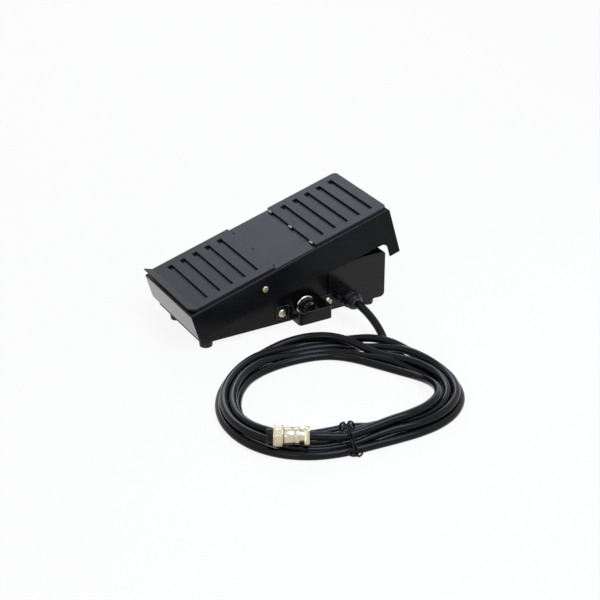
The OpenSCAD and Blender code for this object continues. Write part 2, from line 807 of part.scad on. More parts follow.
module base_pan() {
    color(black_coat) place() difference() {
        union() {
            pan_floor();
            intersection() {
                linear_extrude(wall_top + 1) difference() {
                    pan_plan(0);
                    pan_plan(sheet_t);
                }
                along_x(-base_x - 1, base_x + 1) pan_side();
            }
            tongue(0);
        }
        at_pivot() rod_x(-base_x - 1, base_x + 1, bush_r + fit_gap);
        translate([0, knob_y, knob_z]) rod_x(wall_in - 1, base_x + 1, limit_bush_r + fit_gap);
        for (y = guard_ys) {
            translate([0, y, guard_z]) rod_x(wall_in - 1, base_x + 1, guard_screw_r + fit_gap);
        }
        for (p = feet) {
            drill_up(p[0], p[1], screw_r + fit_gap, foot_h - 1, floor_top + 1);
        }
        each_cover_screw() cylinder(h = 2 * floor_top, r = screw_r + fit_gap);
        each_bracket_screw() cylinder(h = 2 * floor_top, r = screw_r + fit_gap);
    }
}

// Rear cover
module cover_side() {
    translate([cover_front, foot_h]) square([cover_l - cover_corner_r, cover_top - foot_h]);
    translate([cover_front, foot_h + cover_corner_r])
        square([cover_l, cover_top - bend_r - foot_h - cover_corner_r]);
    translate([base_rear - cover_corner_r, cover_top - bend_r])
        square([cover_corner_r - bend_r, bend_r]);
    translate([base_rear - cover_corner_r, foot_h + cover_corner_r]) circle(cover_corner_r);
    translate([base_rear - bend_r, cover_top - bend_r]) circle(bend_r);
}

module rear_cover() {
    color(black_coat) place() difference() {
        union() {
            difference() {
                intersection() {
                    along_y(cover_front, base_rear) arch(-base_x, base_x, foot_h, cover_top, bend_r);
                    along_x(-base_x, base_x) cover_side();
                }
                along_y(cover_front - 1, base_rear - sheet_t)
                    arch(-wall_in, wall_in, foot_h - 1, cover_top - sheet_t, bend_r - sheet_t);
            }
            for (s = [0, 1]) {
                mirror([s, 0, 0]) translate([wall_in - cover_flange_w, cover_front + 1, floor_top])
                    cube([cover_flange_w + sheet_t / 2, cover_flange_l, sheet_t]);
            }
        }
        tongue(tongue_gap);
        translate([-sector_x - slot_half, cover_front - 1, cover_top - 2 * sheet_t])
            cube([2 * slot_half, slot_end - cover_front + 1, 3 * sheet_t]);
        translate([0, gland_y, gland_z]) rod_x(wall_in - 1, base_x + 1, gland_thread_r + fit_gap);
        drill_up(-buffer_x, base_rear - buffer_y, buffer_stem_r + fit_gap, cover_top - 4, cover_top + 1);
        each_cover_screw() cylinder(h = 2 * floor_top, r = screw_r + fit_gap);
    }
}

module each_cover_screw() {
    for (x = [-cover_screw_x, cover_screw_x], y = cover_screw_ys) {
        translate([x, y, 0]) children();
    }
}

module each_bracket_screw() {
    for (y = pot_bracket_ys) {
        translate([pot_plate_x + bracket_screw_reach, y, 0]) children();
    }
    for (y = switch_bracket_ys) {
        translate([switch_x1 + bracket_screw_reach, y, 0]) children();
    }
}

module cover_screws() {
    color(steel) place() each_cover_screw() screw_from_below(0, 0, 2 * sheet_t + 1);
}

module bracket_screws() {
    color(steel) place() each_bracket_screw() screw_from_below(0, 0, sheet_t + bracket_t + 1);
}

module rubber_feet() {
    color(rubber) place() for (p = feet) {
        translate([p[0], p[1], 0]) difference() {
            cylinder(h = foot_h, r1 = foot_floor_r, r2 = foot_r);
            drill_up(0, 0, screw_head_r + 0.4, -1, foot_recess);
            drill_up(0, 0, screw_r + fit_gap, 0, foot_h + 1);
        }
    }
}

module foot_screws() {
    color(steel) place() for (p = feet) {
        translate([p[0], p[1], foot_recess]) rotate([180, 0, 0])
            pan_screw(screw_head_r, screw_head_h, screw_r, floor_top + foot_nut_h - foot_recess + 1);
    }
}

module foot_nuts() {
    color(steel) place() for (p = feet) {
        translate([p[0], p[1], floor_top]) difference() {
            cylinder(h = foot_nut_h, r = foot_nut_r, $fn = 6);
            drill_up(0, 0, screw_r + fit_gap, -1, foot_nut_h + 1);
        }
    }
}

module rubber_buffer() {
    top = under_pressed(base_rear - buffer_y - buffer_r) - pass_gap;
    color(rubber) place() translate([-buffer_x, base_rear - buffer_y, cover_top]) {
        cylinder(h = (top - cover_top) / 2, r = buffer_r);
        translate([0, 0, (top - cover_top) / 2])
            cylinder(h = (top - cover_top) / 2, r1 = buffer_r, r2 = 0.8 * buffer_r);
        translate([0, 0, -sheet_t]) cylinder(h = sheet_t, r = buffer_stem_r);
        translate([0, 0, -sheet_t - 2]) cylinder(h = 2, r1 = buffer_stem_r, r2 = buffer_barb_r);
    }
}

// Knob guard
module hat_plan(inset) {
    half = guard_hat_l / 2 - inset;
    rotate(-90) arch(-knob_y - half, -knob_y + half, base_x - inset, guard_x - inset, bend_r - inset);
}

module knob_guard() {
    hat_side = guard_hat_l / 2 - sheet_t;
    reach = guard_pitch / 2 + guard_tab_l;
    color(black_coat) place() difference() {
        translate([0, 0, guard_low]) linear_extrude(guard_h) {
            difference() {
                hat_plan(0);
                hat_plan(sheet_t);
            }
            for (y = [knob_y - reach, knob_y + hat_side]) {
                translate([base_x, y]) square([sheet_t, reach - hat_side]);
            }
        }
        for (y = guard_ys) {
            translate([0, y, guard_z]) rod_x(base_x - 1, base_x + sheet_t + 1, guard_screw_r + fit_gap);
        }
    }
}

module guard_screws() {
    color(steel) place() for (y = guard_ys) {
        translate([base_x + sheet_t, y, guard_z]) rotate([0, 90, 0])
            pan_screw(guard_head_r, guard_head_h, guard_screw_r, guard_screw_l);
    }
}

// Side knob and the control behind it
module at_knob() {
    translate([0, knob_y, knob_z]) children();
}

module limit_pot() {
    back = wall_in - limit_pot_l;
    color("#8f8a80") place() at_knob() {
        difference() {
            union() {
                rod_x(back, wall_in, limit_pot_r);
                rod_x(wall_in, base_x + limit_bush_l - sheet_t, limit_bush_r);
            }
            rod_x(back + limit_pot_l / 2, base_x + limit_bush_l, limit_shaft_r + run_gap);
        }
        translate([back + 2, 0, limit_pot_r - 2]) lugs();
    }
}

// Three solder lugs in a row, standing up from z = 0
module lugs() {
    for (y = [-lug_pitch, 0, lug_pitch]) {
        translate([0, y - lug[1] / 2, 0]) cube(lug);
    }
}

module limit_pot_nut() {
    color(steel) place() at_knob() difference() {
        hex_x(base_x, base_x + limit_nut_t, limit_nut_r);
        rod_x(base_x - 1, base_x + limit_nut_t + 1, limit_bush_r + fit_gap);
    }
}

module limit_shaft() {
    color(steel) place() at_knob()
        rod_x(wall_in - limit_pot_l / 2 + 1, knob_face_x - knob_cap, limit_shaft_r);
}

module knob_skirt() {
    color(steel) place() at_knob() difference() {
        cone_x(knob_base_x, knob_body_x, knob_skirt_r, knob_skirt_r - knob_skirt_taper);
        rod_x(knob_base_x - 1, knob_body_x + 1, limit_bush_r + 2 * pass_gap);
    }
}

module limit_knob() {
    color(plastic) place() at_knob() difference() {
        union() {
            rod_x(knob_body_x, knob_grip_x - knob_chamfer, knob_flange_r);
            cone_x(knob_grip_x - knob_chamfer, knob_grip_x, knob_flange_r, knob_flange_r - knob_chamfer);
            rod_x(knob_grip_x, knob_face_x - knob_chamfer, knob_r);
            cone_x(knob_face_x - knob_chamfer, knob_face_x, knob_r, knob_r - knob_chamfer);
        }
        for (i = [0:knob_grooves - 1]) {
            rotate([360 * i / knob_grooves, 0, 0]) translate([0, knob_r + knob_groove_r / 3, 0])
                rod_x(knob_grip_x, knob_face_x + 1, knob_groove_r);
        }
        rod_x(knob_body_x - 1, knob_face_x - knob_cap + fit_gap, limit_shaft_r + fit_gap);
        at_marker() rod_x(knob_face_x - marker_t, knob_face_x + 1, marker_r + fit_gap);
    }
}

module at_marker() {
    rotate([-marker_turn, 0, 0]) translate([0, 0, knob_r - marker_edge - marker_r]) children();
}

module knob_marker() {
    color("#d9a441") place() at_knob() at_marker()
        rod_x(knob_face_x - marker_t, knob_face_x, marker_r);
}

// Cable gland
module at_gland() {
    translate([0, gland_y, gland_z]) children();
}

module gland_body() {
    color(plastic) place() at_gland() difference() {
        union() {
            hex_x(base_x, gland_collar_x, gland_hex_r);
            rod_x(gland_collar_x, gland_nut_x, gland_collar_r);
            rod_x(base_x - sheet_t - gland_thread_l, base_x, gland_thread_r);
        }
        rod_x(base_x - sheet_t - gland_thread_l - 1, gland_nut_x + 1, gland_seal_r + fit_gap);
    }
}

module gland_locknut() {
    color(plastic) place() at_gland() difference() {
        hex_x(wall_in - locknut_t, wall_in, locknut_r);
        rod_x(wall_in - locknut_t - 1, wall_in + 1, gland_thread_r + fit_gap);
    }
}

module gland_nut() {
    color(plastic) place() at_gland() difference() {
        union() {
            hex_x(gland_nut_x, gland_dome_x, gland_hex_r);
            dome_x(gland_dome_x, gland_nose_x, gland_dome_r, gland_nose_r, gland_dome_flat);
            rod_x(gland_nose_x, gland_end_x, gland_nose_r);
        }
        rod_x(gland_nut_x - 1, gland_end_x + 1, gland_seal_r + fit_gap);
    }
}

module gland_seal() {
    color(rubber) place() at_gland() difference() {
        rod_x(gland_nut_x - gland_collar_l, gland_end_x + seal_out, gland_seal_r);
        rod_x(gland_nut_x - gland_collar_l - 1, gland_end_x + 2 * seal_out, cable_r + fit_gap);
    }
}

// Gears
function polar(r, a) = [r * cos(a), r * sin(a)];
function involute(a) = tan(a) * 180 / PI - a;

// Half the angle that a pinion tooth fills at a radius
function pinion_half(r) =
    let (base_r = pinion_r * cos(gear_pressure), at = acos(min(1, base_r / r)))
    90 / pinion_teeth - gear_play / 4 / pinion_r * 180 / PI + involute(gear_pressure) - involute(at);

// Half the angle that a sector tooth fills at a height over the pitch circle
function sector_half(h) =
    (PI * gear_module / 4 - gear_play / 4 - h * tan(gear_pressure)) / (pitch_r + h) * 180 / PI;

module pinion_outline() {
    low = pinion_r - dedendum;
    high = pinion_r + addendum;
    start = mesh_angle + 180 + 180 / pinion_teeth;
    flank = [for (i = [0:5]) low + (high - low) * i / 5];
    polygon([for (k = [0:pinion_teeth - 1]) let (c = start + 360 * k / pinion_teeth) each concat(
        [for (r = flank) polar(r, c - pinion_half(r))],
        [for (i = [5:-1:0]) polar(flank[i], c + pinion_half(flank[i]))])]);
}

module sector_outline() {
    low = pitch_r - dedendum;
    high = pitch_r + addendum;
    teeth = [for (k = [-sector_margin:sector_last]) let (c = mesh_angle + k * tooth_step) each
        [polar(low, c - sector_half(-dedendum)), polar(high, c - sector_half(addendum)),
         polar(high, c + sector_half(addendum)), polar(low, c + sector_half(-dedendum))]];
    tooth_end = mesh_angle + (sector_last + 1) * tooth_step;
    steps = 12;
    outer = [for (i = [0:steps]) polar(low, tooth_end + (sector_high - tooth_end) * i / steps)];
    inner = [for (i = [0:2 * steps])
        let (a = sector_high + (sector_low - sector_high) * i / (2 * steps)) polar(cam(a), a)];
    polygon(concat([polar(low, sector_low)], teeth, outer, inner));
}

// All the space under the treadle's top plate
module below_treadle() {
    on_treadle() translate([-half_w, 0, -treadle_l - sheet_t]) cube([treadle_w, 2 * treadle_l, treadle_l]);
}

module sector_gear() {
    arm_along = pivot_along + cam_reach * cos(flange_lead);
    color(steel) place() difference() {
        union() {
            intersection() {
                at_pivot() along_x(sector_x0, sector_x0 + sector_t) sector_outline();
                below_treadle();
            }
            on_treadle() translate([-sector_x, arm_along - flange_lead, -sheet_t])
                translate([-sector_flange[0] / 2, 0, -sector_flange[2]])
                cube(sector_flange);
        }
        at_pivot(stop_pin_angle) translate([0, stop_pin_reach, 0])
            rod_x(sector_x0 - 1, sector_x0 + sector_t + 1, stop_pin_r + fit_gap);
    }
}

module stop_pin() {
    color(steel) place() at_pivot(stop_pin_angle) translate([0, stop_pin_reach, 0])
        rod_x(-sector_x - stop_pin_l / 2, -sector_x + stop_pin_l / 2, stop_pin_r);
}

// Control that the treadle turns
module at_pinion() {
    translate([0, pinion_y, pinion_z]) children();
}

module drive_pinion() {
    color("#e4dfd0") place() at_pinion() difference() {
        along_x(pinion_x0, pinion_x1) pinion_outline();
        rod_x(pinion_x0 - 1, pinion_x1 + 1, pot_shaft_r + fit_gap);
    }
}

module pot_shaft() {
    color(steel) place() at_pinion() rod_x(pinion_x0 - 1, pot_plate_x + bracket_t + pot_l / 2, pot_shaft_r);
}

module control_pot() {
    front = pot_plate_x + bracket_t;
    color("#8f8a80") place() at_pinion() {
        difference() {
            union() {
                rod_x(front, front + pot_l, pot_r);
                rod_x(pinion_x1 + pot_bush_gap, front, pot_bush_r);
            }
            rod_x(pinion_x1, front + pot_l / 2 + 0.5, pot_shaft_r + run_gap);
        }
        translate([front + 2, 0, 2 - pot_r - lug[2]]) lugs();
    }
}

module pot_nut() {
    color(steel) place() at_pinion() difference() {
        hex_x(pot_plate_x - pot_nut_t, pot_plate_x, pot_nut_r);
        rod_x(pot_plate_x - pot_nut_t - 1, pot_plate_x + 1, pot_bush_r + fit_gap);
    }
}

module pot_bracket() {
    low_y = pinion_y - pot_bracket_w / 2;
    color(steel) place() difference() {
        union() {
            along_x(pot_plate_x, pot_plate_x + bracket_t)
                arch(low_y, low_y + pot_bracket_w, floor_top, pinion_z + pot_r, pot_r);
            translate([pot_plate_x, low_y, floor_top]) cube([bracket_foot_w, pot_bracket_w, bracket_t]);
        }
        at_pinion() rod_x(pot_plate_x - 1, pot_plate_x + bracket_t + 1, pot_bush_r + fit_gap);
        each_bracket_screw() cylinder(h = 2 * floor_top, r = screw_r + fit_gap);
    }
}

// Start switch; its plunger points away from the pivot, at the cam edge
module at_switch() {
    at_pivot(switch_angle) children();
}

module each_switch_hole() {
    for (z = [-switch_hole_z, switch_hole_z]) {
        translate([0, switch_hole_y, z]) children();
    }
}

module start_switch() {
    color("#20252c") place() at_switch() {
        difference() {
            translate([switch_x0, case_top - switch_d, -switch_l / 2]) cube([switch_t, switch_d, switch_l]);
            translate([-sector_x, case_top - plunger_in - 2, 0]) rotate([-90, 0, 0])
                cylinder(h = switch_d, r = plunger_r + run_gap);
            each_switch_hole() rod_x(switch_x0 - 1, switch_x1 + 1, switch_hole_r);
        }
        translate([-sector_x, case_top - switch_d + 1, 0]) rotate([90, 0, 0]) lugs();
    }
}

module switch_plunger() {
    straight = plunger_out + plunger_in - plunger_r;
    color("#a33b2e") place() at_switch()
        translate([-sector_x, case_top - plunger_in, 0]) rotate([-90, 0, 0]) {
        cylinder(h = straight, r = plunger_r);
        translate([0, 0, straight]) sphere(plunger_r);
    }
}

module switch_bracket() {
    color(steel) place() difference() {
        union() {
            translate([switch_x1, switch_bracket_y, floor_top])
                cube([sheet_t, switch_bracket_w, pivot_z - floor_top - switch_bracket_drop]);
            translate([switch_x1, switch_bracket_y, floor_top])
                cube([bracket_foot_w, switch_bracket_w, bracket_t]);
        }
        at_switch() each_switch_hole() rod_x(switch_x1 - 1, switch_x1 + sheet_t + 1, switch_hole_r);
        each_bracket_screw() cylinder(h = 2 * floor_top, r = screw_r + fit_gap);
    }
}

module switch_screws() {
    color(steel) place() at_switch() each_switch_hole() translate([switch_x0, 0, 0]) rotate([0, -90, 0])
        pan_screw(switch_head_r, small_head_h, switch_screw_r, switch_t + sheet_t + 1);
}

// Return spring
module spring_seat() {
    color(steel) place() translate([0, spring_at, floor_top]) {
        cylinder(h = seat_t, r = spring_seat_r);
        cylinder(h = seat_t + spring_boss_l, r = spring_boss_r);
    }
}

module spring_cap() {
    color(steel) place() {
        intersection() {
            translate([0, spring_at, spring_high]) cylinder(h = leg_d, r = spring_seat_r);
            below_treadle();
        }
        translate([0, spring_at, spring_high - spring_boss_l])
            cylinder(h = spring_boss_l + 1, r = spring_boss_r);
    }
}

module return_spring() {
    rings = 14 * spring_turns;
    low = spring_low + wire_r + fit_gap;
    high = spring_high - wire_r - fit_gap;
    path = [for (i = [0:rings])
        let (a = 360 * spring_turns * i / rings)
        [spring_r * cos(a), spring_at + spring_r * sin(a), low + (high - low) * i / rings]];
    color(steel) place() tube(path, wire_r, 6, [0, 0, 1]);
}

// Cable
// Plan of a stretch of the coil, or of its upper turns
module coil_plan(span, upper = false) {
    steps = ceil((span[1] - span[0]) / 8);
    angles = [for (i = [0:steps]) span[0] + (span[1] - span[0]) * i / steps];
    inset = [for (a = angles) upper ? coil_inset(a) : 0];
    outer = [for (i = [0:steps]) coil_at + polar(coil_out(angles[i]) - inset[i], angles[i])];
    inner = [for (i = [steps:-1:0])
        coil_at + polar(coil_out(angles[i]) - coil_width(angles[i]) + inset[i], angles[i])];
    polygon(concat(outer, inner));
}

module cord_lead() {
    color(plastic) place() tube(lead_route, cable_r, cable_sides, [0, 1, 0]);
}

module cord_tail() {
    color(plastic) place() tube(tail_route, cable_r, cable_sides, [0, 0, 1]);
}

module cord_coil() {
    color(plastic) place() difference() {
        union() {
            linear_extrude(coil_h) {
                coil_plan([0, 180]);
                coil_plan([180, 360]);
            }
            for (span = [right_upper, left_upper]) {
                linear_extrude(upper_h) coil_plan(span, upper = true);
            }
        }
        at_tie() translate([0, 0, tie_notch[2] / 2 - 1]) cube(tie_notch + [0, 0, 2], center = true);
    }
}

module at_tie() {
    r = coil_out(tie_angle) - coil_width(tie_angle) / 2;
    translate([coil_at[0], coil_at[1], 0]) rotate([0, 0, tie_angle]) translate([r, 0, 0]) children();
}

// Wire tie: two loops side by side round the coil
module cord_tie() {
    half = coil_width(tie_angle) / 2 + tie_gap;
    high = upper_h + fit_gap;
    color("#101011") place() at_tie() for (y = [-tie_apart, tie_apart]) {
        along_y(y - tie_wire / 2, y + tie_wire / 2) difference() {
            arch(-half - tie_wire, half + tie_wire, 0, high + tie_wire, tie_bend + tie_wire);
            arch(-half, half, tie_wire, high, tie_bend);
        }
    }
}

// Plug
module plug_insert() {
    color(rubber) place() on_plug() {
        rod_x(0, insert_out, insert_r);
        rod_x(insert_out, ring_end - collar_l, insert_r - pass_gap);
    }
}

module plug_ring() {
    color("#d8cfc0") place() on_plug() difference() {
        union() {
            rod_x(insert_out, ring_end, ring_r - 0.5);
            rod_x(insert_out + 1, ring_end - 1, ring_r);
        }
        rod_x(insert_out - 1, ring_end + 1, ring_bore_r);
    }
}

module plug_shell() {
    color("#d8cfc0") place() on_plug() difference() {
        union() {
            rod_x(ring_end - collar_l, ring_end + pass_gap, insert_r);
            rod_x(ring_end + pass_gap, shell_end, shell_r);
        }
        rod_x(ring_end - collar_l - 1, shell_end + 1, cable_r + 2 * pass_gap);
    }
}

module plug_clamp() {
    color("#d8cfc0") place() on_plug() difference() {
        union() {
            rod_x(shell_end, clamp_end, clamp_r);
            each_clamp_screw() cube(clamp_ear, center = true);
        }
        rod_x(shell_end - 1, clamp_end + 1, cable_r + fit_gap);
        translate([shell_end - 1, -2 * clamp_r, -clamp_split / 2])
            cube([clamp_l + 2, 4 * clamp_r, clamp_split]);
        each_clamp_screw() cylinder(h = 4 * clamp_r, r = clamp_screw_r + fit_gap, center = true);
    }
}

module each_clamp_screw() {
    for (s = [-1, 1]) {
        translate([shell_end + clamp_l / 2, s * clamp_screw_y, 0]) children();
    }
}

module clamp_screws() {
    color(steel) place() on_plug() each_clamp_screw() translate([0, 0, clamp_ear[2] / 2])
        pan_screw(clamp_head_r, small_head_h, clamp_screw_r, clamp_ear[2]);
}

treadle();
front_pad();
rear_pad();
pivot_shaft();
pivot_screws();
pivot_bushes();
base_pan();
rear_cover();
rubber_feet();
foot_screws();
foot_nuts();
cover_screws();
rubber_buffer();
knob_guard();
guard_screws();
limit_pot();
limit_pot_nut();
limit_shaft();
knob_skirt();
limit_knob();
knob_marker();
gland_body();
gland_locknut();
gland_nut();
gland_seal();
sector_gear();
stop_pin();
drive_pinion();
pot_shaft();
control_pot();
pot_nut();
pot_bracket();
bracket_screws();
start_switch();
switch_plunger();
switch_bracket();
switch_screws();
spring_seat();
spring_cap();
return_spring();
cord_lead();
cord_coil();
cord_tail();
cord_tie();
plug_insert();
plug_ring();
plug_shell();
plug_clamp();
clamp_screws();
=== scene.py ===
# %% [markdown]
# # A foot pedal for a welding set
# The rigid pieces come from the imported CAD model, which is loaded first and never moved. This lesson
# adds what CAD leaves plain: the camera, the light, the finishes, the long cable in its coil, the wire
# tie round it, softened edges, the turned plug and the screw heads. Everything is in the CAD model's
# frame, in metres: X runs across the pedal to the knob, Y from the low front to the high rear, and Z up.
# The sizes of a piece are written in millimetres, as its maker would note them.

# %% Load the frame
import json
import math

import bmesh
import bpy
from mathutils import Matrix, Vector


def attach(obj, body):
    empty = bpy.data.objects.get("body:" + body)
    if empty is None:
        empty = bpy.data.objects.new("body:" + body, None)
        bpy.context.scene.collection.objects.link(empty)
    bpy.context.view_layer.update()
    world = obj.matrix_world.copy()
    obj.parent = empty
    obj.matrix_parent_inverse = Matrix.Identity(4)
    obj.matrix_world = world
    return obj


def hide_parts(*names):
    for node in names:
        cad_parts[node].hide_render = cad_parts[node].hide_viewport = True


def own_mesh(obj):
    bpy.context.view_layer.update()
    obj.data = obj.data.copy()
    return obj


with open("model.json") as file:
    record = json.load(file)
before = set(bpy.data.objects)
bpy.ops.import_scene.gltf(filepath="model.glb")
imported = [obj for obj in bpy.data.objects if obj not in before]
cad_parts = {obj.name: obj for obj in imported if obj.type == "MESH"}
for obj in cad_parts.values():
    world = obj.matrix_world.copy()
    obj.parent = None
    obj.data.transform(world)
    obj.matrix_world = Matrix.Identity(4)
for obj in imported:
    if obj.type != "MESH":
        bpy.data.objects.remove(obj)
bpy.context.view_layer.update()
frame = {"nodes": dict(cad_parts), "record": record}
nodes = frame["nodes"]

# %% [markdown]
# ## The camera
# The photograph was taken with a long lens from the knob's side, a little above the pedal. A camera that
# looks at a point between the pedal and the coil, with no roll and no shift, gives its perspective.

# %% Camera
CAMERA_AT = Vector((1.25125, -0.68472, 0.7514))
CAMERA_AIM = Vector((0.059, -0.00792, 0.03758))
CAMERA_LENS = 95.27
SENSOR_WIDTH = 36

scene = bpy.context.scene
camera = bpy.data.objects.new("camera", bpy.data.cameras.new("camera"))
camera.data.sensor_width = SENSOR_WIDTH
camera.data.lens = CAMERA_LENS
camera.location = CAMERA_AT
camera.rotation_euler = (CAMERA_AIM - CAMERA_AT).to_track_quat("-Z", "Y").to_euler()
scene.collection.objects.link(camera)
scene.camera = camera
scene.view_settings.view_transform = "Standard"
print("camera distance:", round((CAMERA_AIM - CAMERA_AT).length, 4))

# %% [markdown]
# ## Shader helpers
# Every finish starts from a Principled BSDF. Four small helpers keep the node code short: one adds a node
# and sets its sockets, one joins two sockets, one stretches a narrow range of values to the full range,
# and one works out the sum, the product or the larger of two values.

# %% Node helpers
def add_node(tree, kind, **sockets):
    node = tree.nodes.new(kind)
    for name, value in sockets.items():
        node.inputs[name.replace("_", " ")].default_value = value
    return node


def join(tree, source, target):
    tree.links.new(source, target)


def map_range(tree, source, low, high):
    node = add_node(tree, "ShaderNodeMapRange", From_Min=low, From_Max=high)
    join(tree, source, node.inputs["Value"])
    return node.outputs["Result"]


def combined(tree, operation, first, second):
    node = tree.nodes.new("ShaderNodeMath")
    node.operation = operation
    join(tree, first, node.inputs[0])
    join(tree, second, node.inputs[1])
    return node.outputs[0]


print("node helpers ready")

# %% [markdown]
# ## Grain, dust and scuffs
# Paint, rubber and plastic all have a fine grain, slow clouds in their tone, a few dust specks and faint
# scuffs. One group makes these four patterns from the piece's own coordinates, and each finish takes
# as much of each as it needs. Only the grain's scale differs, so it is the group's one setting.

# %% Group: surface patterns
CLOUD_SCALE = 22.0
SPECK_SCALE = 260.0
PATCH_SCALE = 60.0
SCUFF_SCALE = 90.0
# The part of each pattern's values that is stretched to the full range
CLOUD_RANGE = (0.3, 0.7)
SPECK_RANGE = (0.16, 0.07)
PATCH_RANGE = (0.54, 0.66)
SCUFF_RANGE = (0.6, 0.78)


def make_patterns():
    tree = bpy.data.node_groups.new("surface patterns", "ShaderNodeTree")
    tree.interface.new_socket("Vector", in_out="INPUT", socket_type="NodeSocketVector")
    tree.interface.new_socket("Grain Scale", in_out="INPUT", socket_type="NodeSocketFloat")
    for name in ("Grain", "Cloud", "Specks", "Scuffs"):
        tree.interface.new_socket(name, in_out="OUTPUT", socket_type="NodeSocketFloat")
    given, out = tree.nodes.new("NodeGroupInput"), tree.nodes.new("NodeGroupOutput")

    grain = add_node(tree, "ShaderNodeTexNoise", Detail=3.0, Roughness=0.6)
    join(tree, given.outputs["Grain Scale"], grain.inputs["Scale"])
    cloud = add_node(tree, "ShaderNodeTexNoise", Scale=CLOUD_SCALE, Detail=4.0, Roughness=0.55)
    dots = add_node(tree, "ShaderNodeTexVoronoi", Scale=SPECK_SCALE, Randomness=1.0)
    patch = add_node(tree, "ShaderNodeTexNoise", Scale=PATCH_SCALE, Detail=2.0)
    stretch = add_node(tree, "ShaderNodeMapping", Rotation=(0.0, 0.0, 0.6), Scale=(1.0, 0.12, 1.0))
    for node in (grain, cloud, dots, patch, stretch):
        join(tree, given.outputs["Vector"], node.inputs["Vector"])
    scuff = add_node(tree, "ShaderNodeTexNoise", Scale=SCUFF_SCALE, Detail=5.0, Roughness=0.7)
    join(tree, stretch.outputs["Vector"], scuff.inputs["Vector"])

    small = map_range(tree, dots.outputs["Distance"], *SPECK_RANGE)
    few = map_range(tree, patch.outputs["Fac"], *PATCH_RANGE)
    join(tree, grain.outputs["Fac"], out.inputs["Grain"])
    join(tree, map_range(tree, cloud.outputs["Fac"], *CLOUD_RANGE), out.inputs["Cloud"])
    join(tree, combined(tree, "MULTIPLY", small, few), out.inputs["Specks"])
    join(tree, map_range(tree, scuff.outputs["Fac"], *SCUFF_RANGE), out.inputs["Scuffs"])
    return tree


patterns = make_patterns()
print("group:", patterns.name, len(patterns.nodes), "nodes")

# %% [markdown]
# A finish mixes two tones by the clouds, lays dust over them, lets the scuffs change the roughness and
# uses the grain as a bump. What is the same all over, such as the specular level, is set on the shader.

# %% Helpers that scale a value and mix two colours
def scaled(tree, source, factor, offset=0.0):
    node = tree.nodes.new("ShaderNodeMath")
    node.operation = "MULTIPLY_ADD"
    node.inputs[1].default_value = factor
    node.inputs[2].default_value = offset
    join(tree, source, node.inputs[0])
    return node.outputs[0]


def mixed(tree, factor, first, second):
    node = tree.nodes.new("ShaderNodeMix")
    node.data_type = "RGBA"
    join(tree, factor, node.inputs["Factor"])
    for value, socket in ((first, node.inputs[6]), (second, node.inputs[7])):
        if isinstance(value, tuple):
            socket.default_value = (*value, 1.0)
        else:
            join(tree, value, socket)
    return node.outputs[2]


print("scaling and mixing ready")

# %% Finish maker
def finish(name, dark, light, rough, cloudy=0.05, scuffed=0.1, grain=1500.0, depth=0.00001, dust=None,
           dusty=0.2, **shader):
    material = bpy.data.materials.new(name)
    material.use_nodes = True
    tree = material.node_tree
    bsdf = tree.nodes["Principled BSDF"]
    for socket, value in shader.items():
        bsdf.inputs[socket.replace("_", " ")].default_value = value
    place = tree.nodes.new("ShaderNodeTexCoord")
    pattern = tree.nodes.new("ShaderNodeGroup")
    pattern.node_tree = patterns
    pattern.inputs["Grain Scale"].default_value = grain
    join(tree, place.outputs["Object"], pattern.inputs["Vector"])

    colour = mixed(tree, pattern.outputs["Cloud"], dark, light)
    if dust:
        colour = mixed(tree, scaled(tree, pattern.outputs["Specks"], dusty), colour, dust)
    join(tree, colour, bsdf.inputs["Base Color"])

    by_cloud = scaled(tree, pattern.outputs["Cloud"], cloudy, rough)
    by_scuff = scaled(tree, pattern.outputs["Scuffs"], scuffed)
    join(tree, combined(tree, "ADD", by_cloud, by_scuff), bsdf.inputs["Roughness"])

    bump = add_node(tree, "ShaderNodeBump", Strength=1.0, Distance=depth)
    join(tree, pattern.outputs["Grain"], bump.inputs["Height"])
    join(tree, bump.outputs["Normal"], bsdf.inputs["Normal"])
    return material


print("finish maker ready")
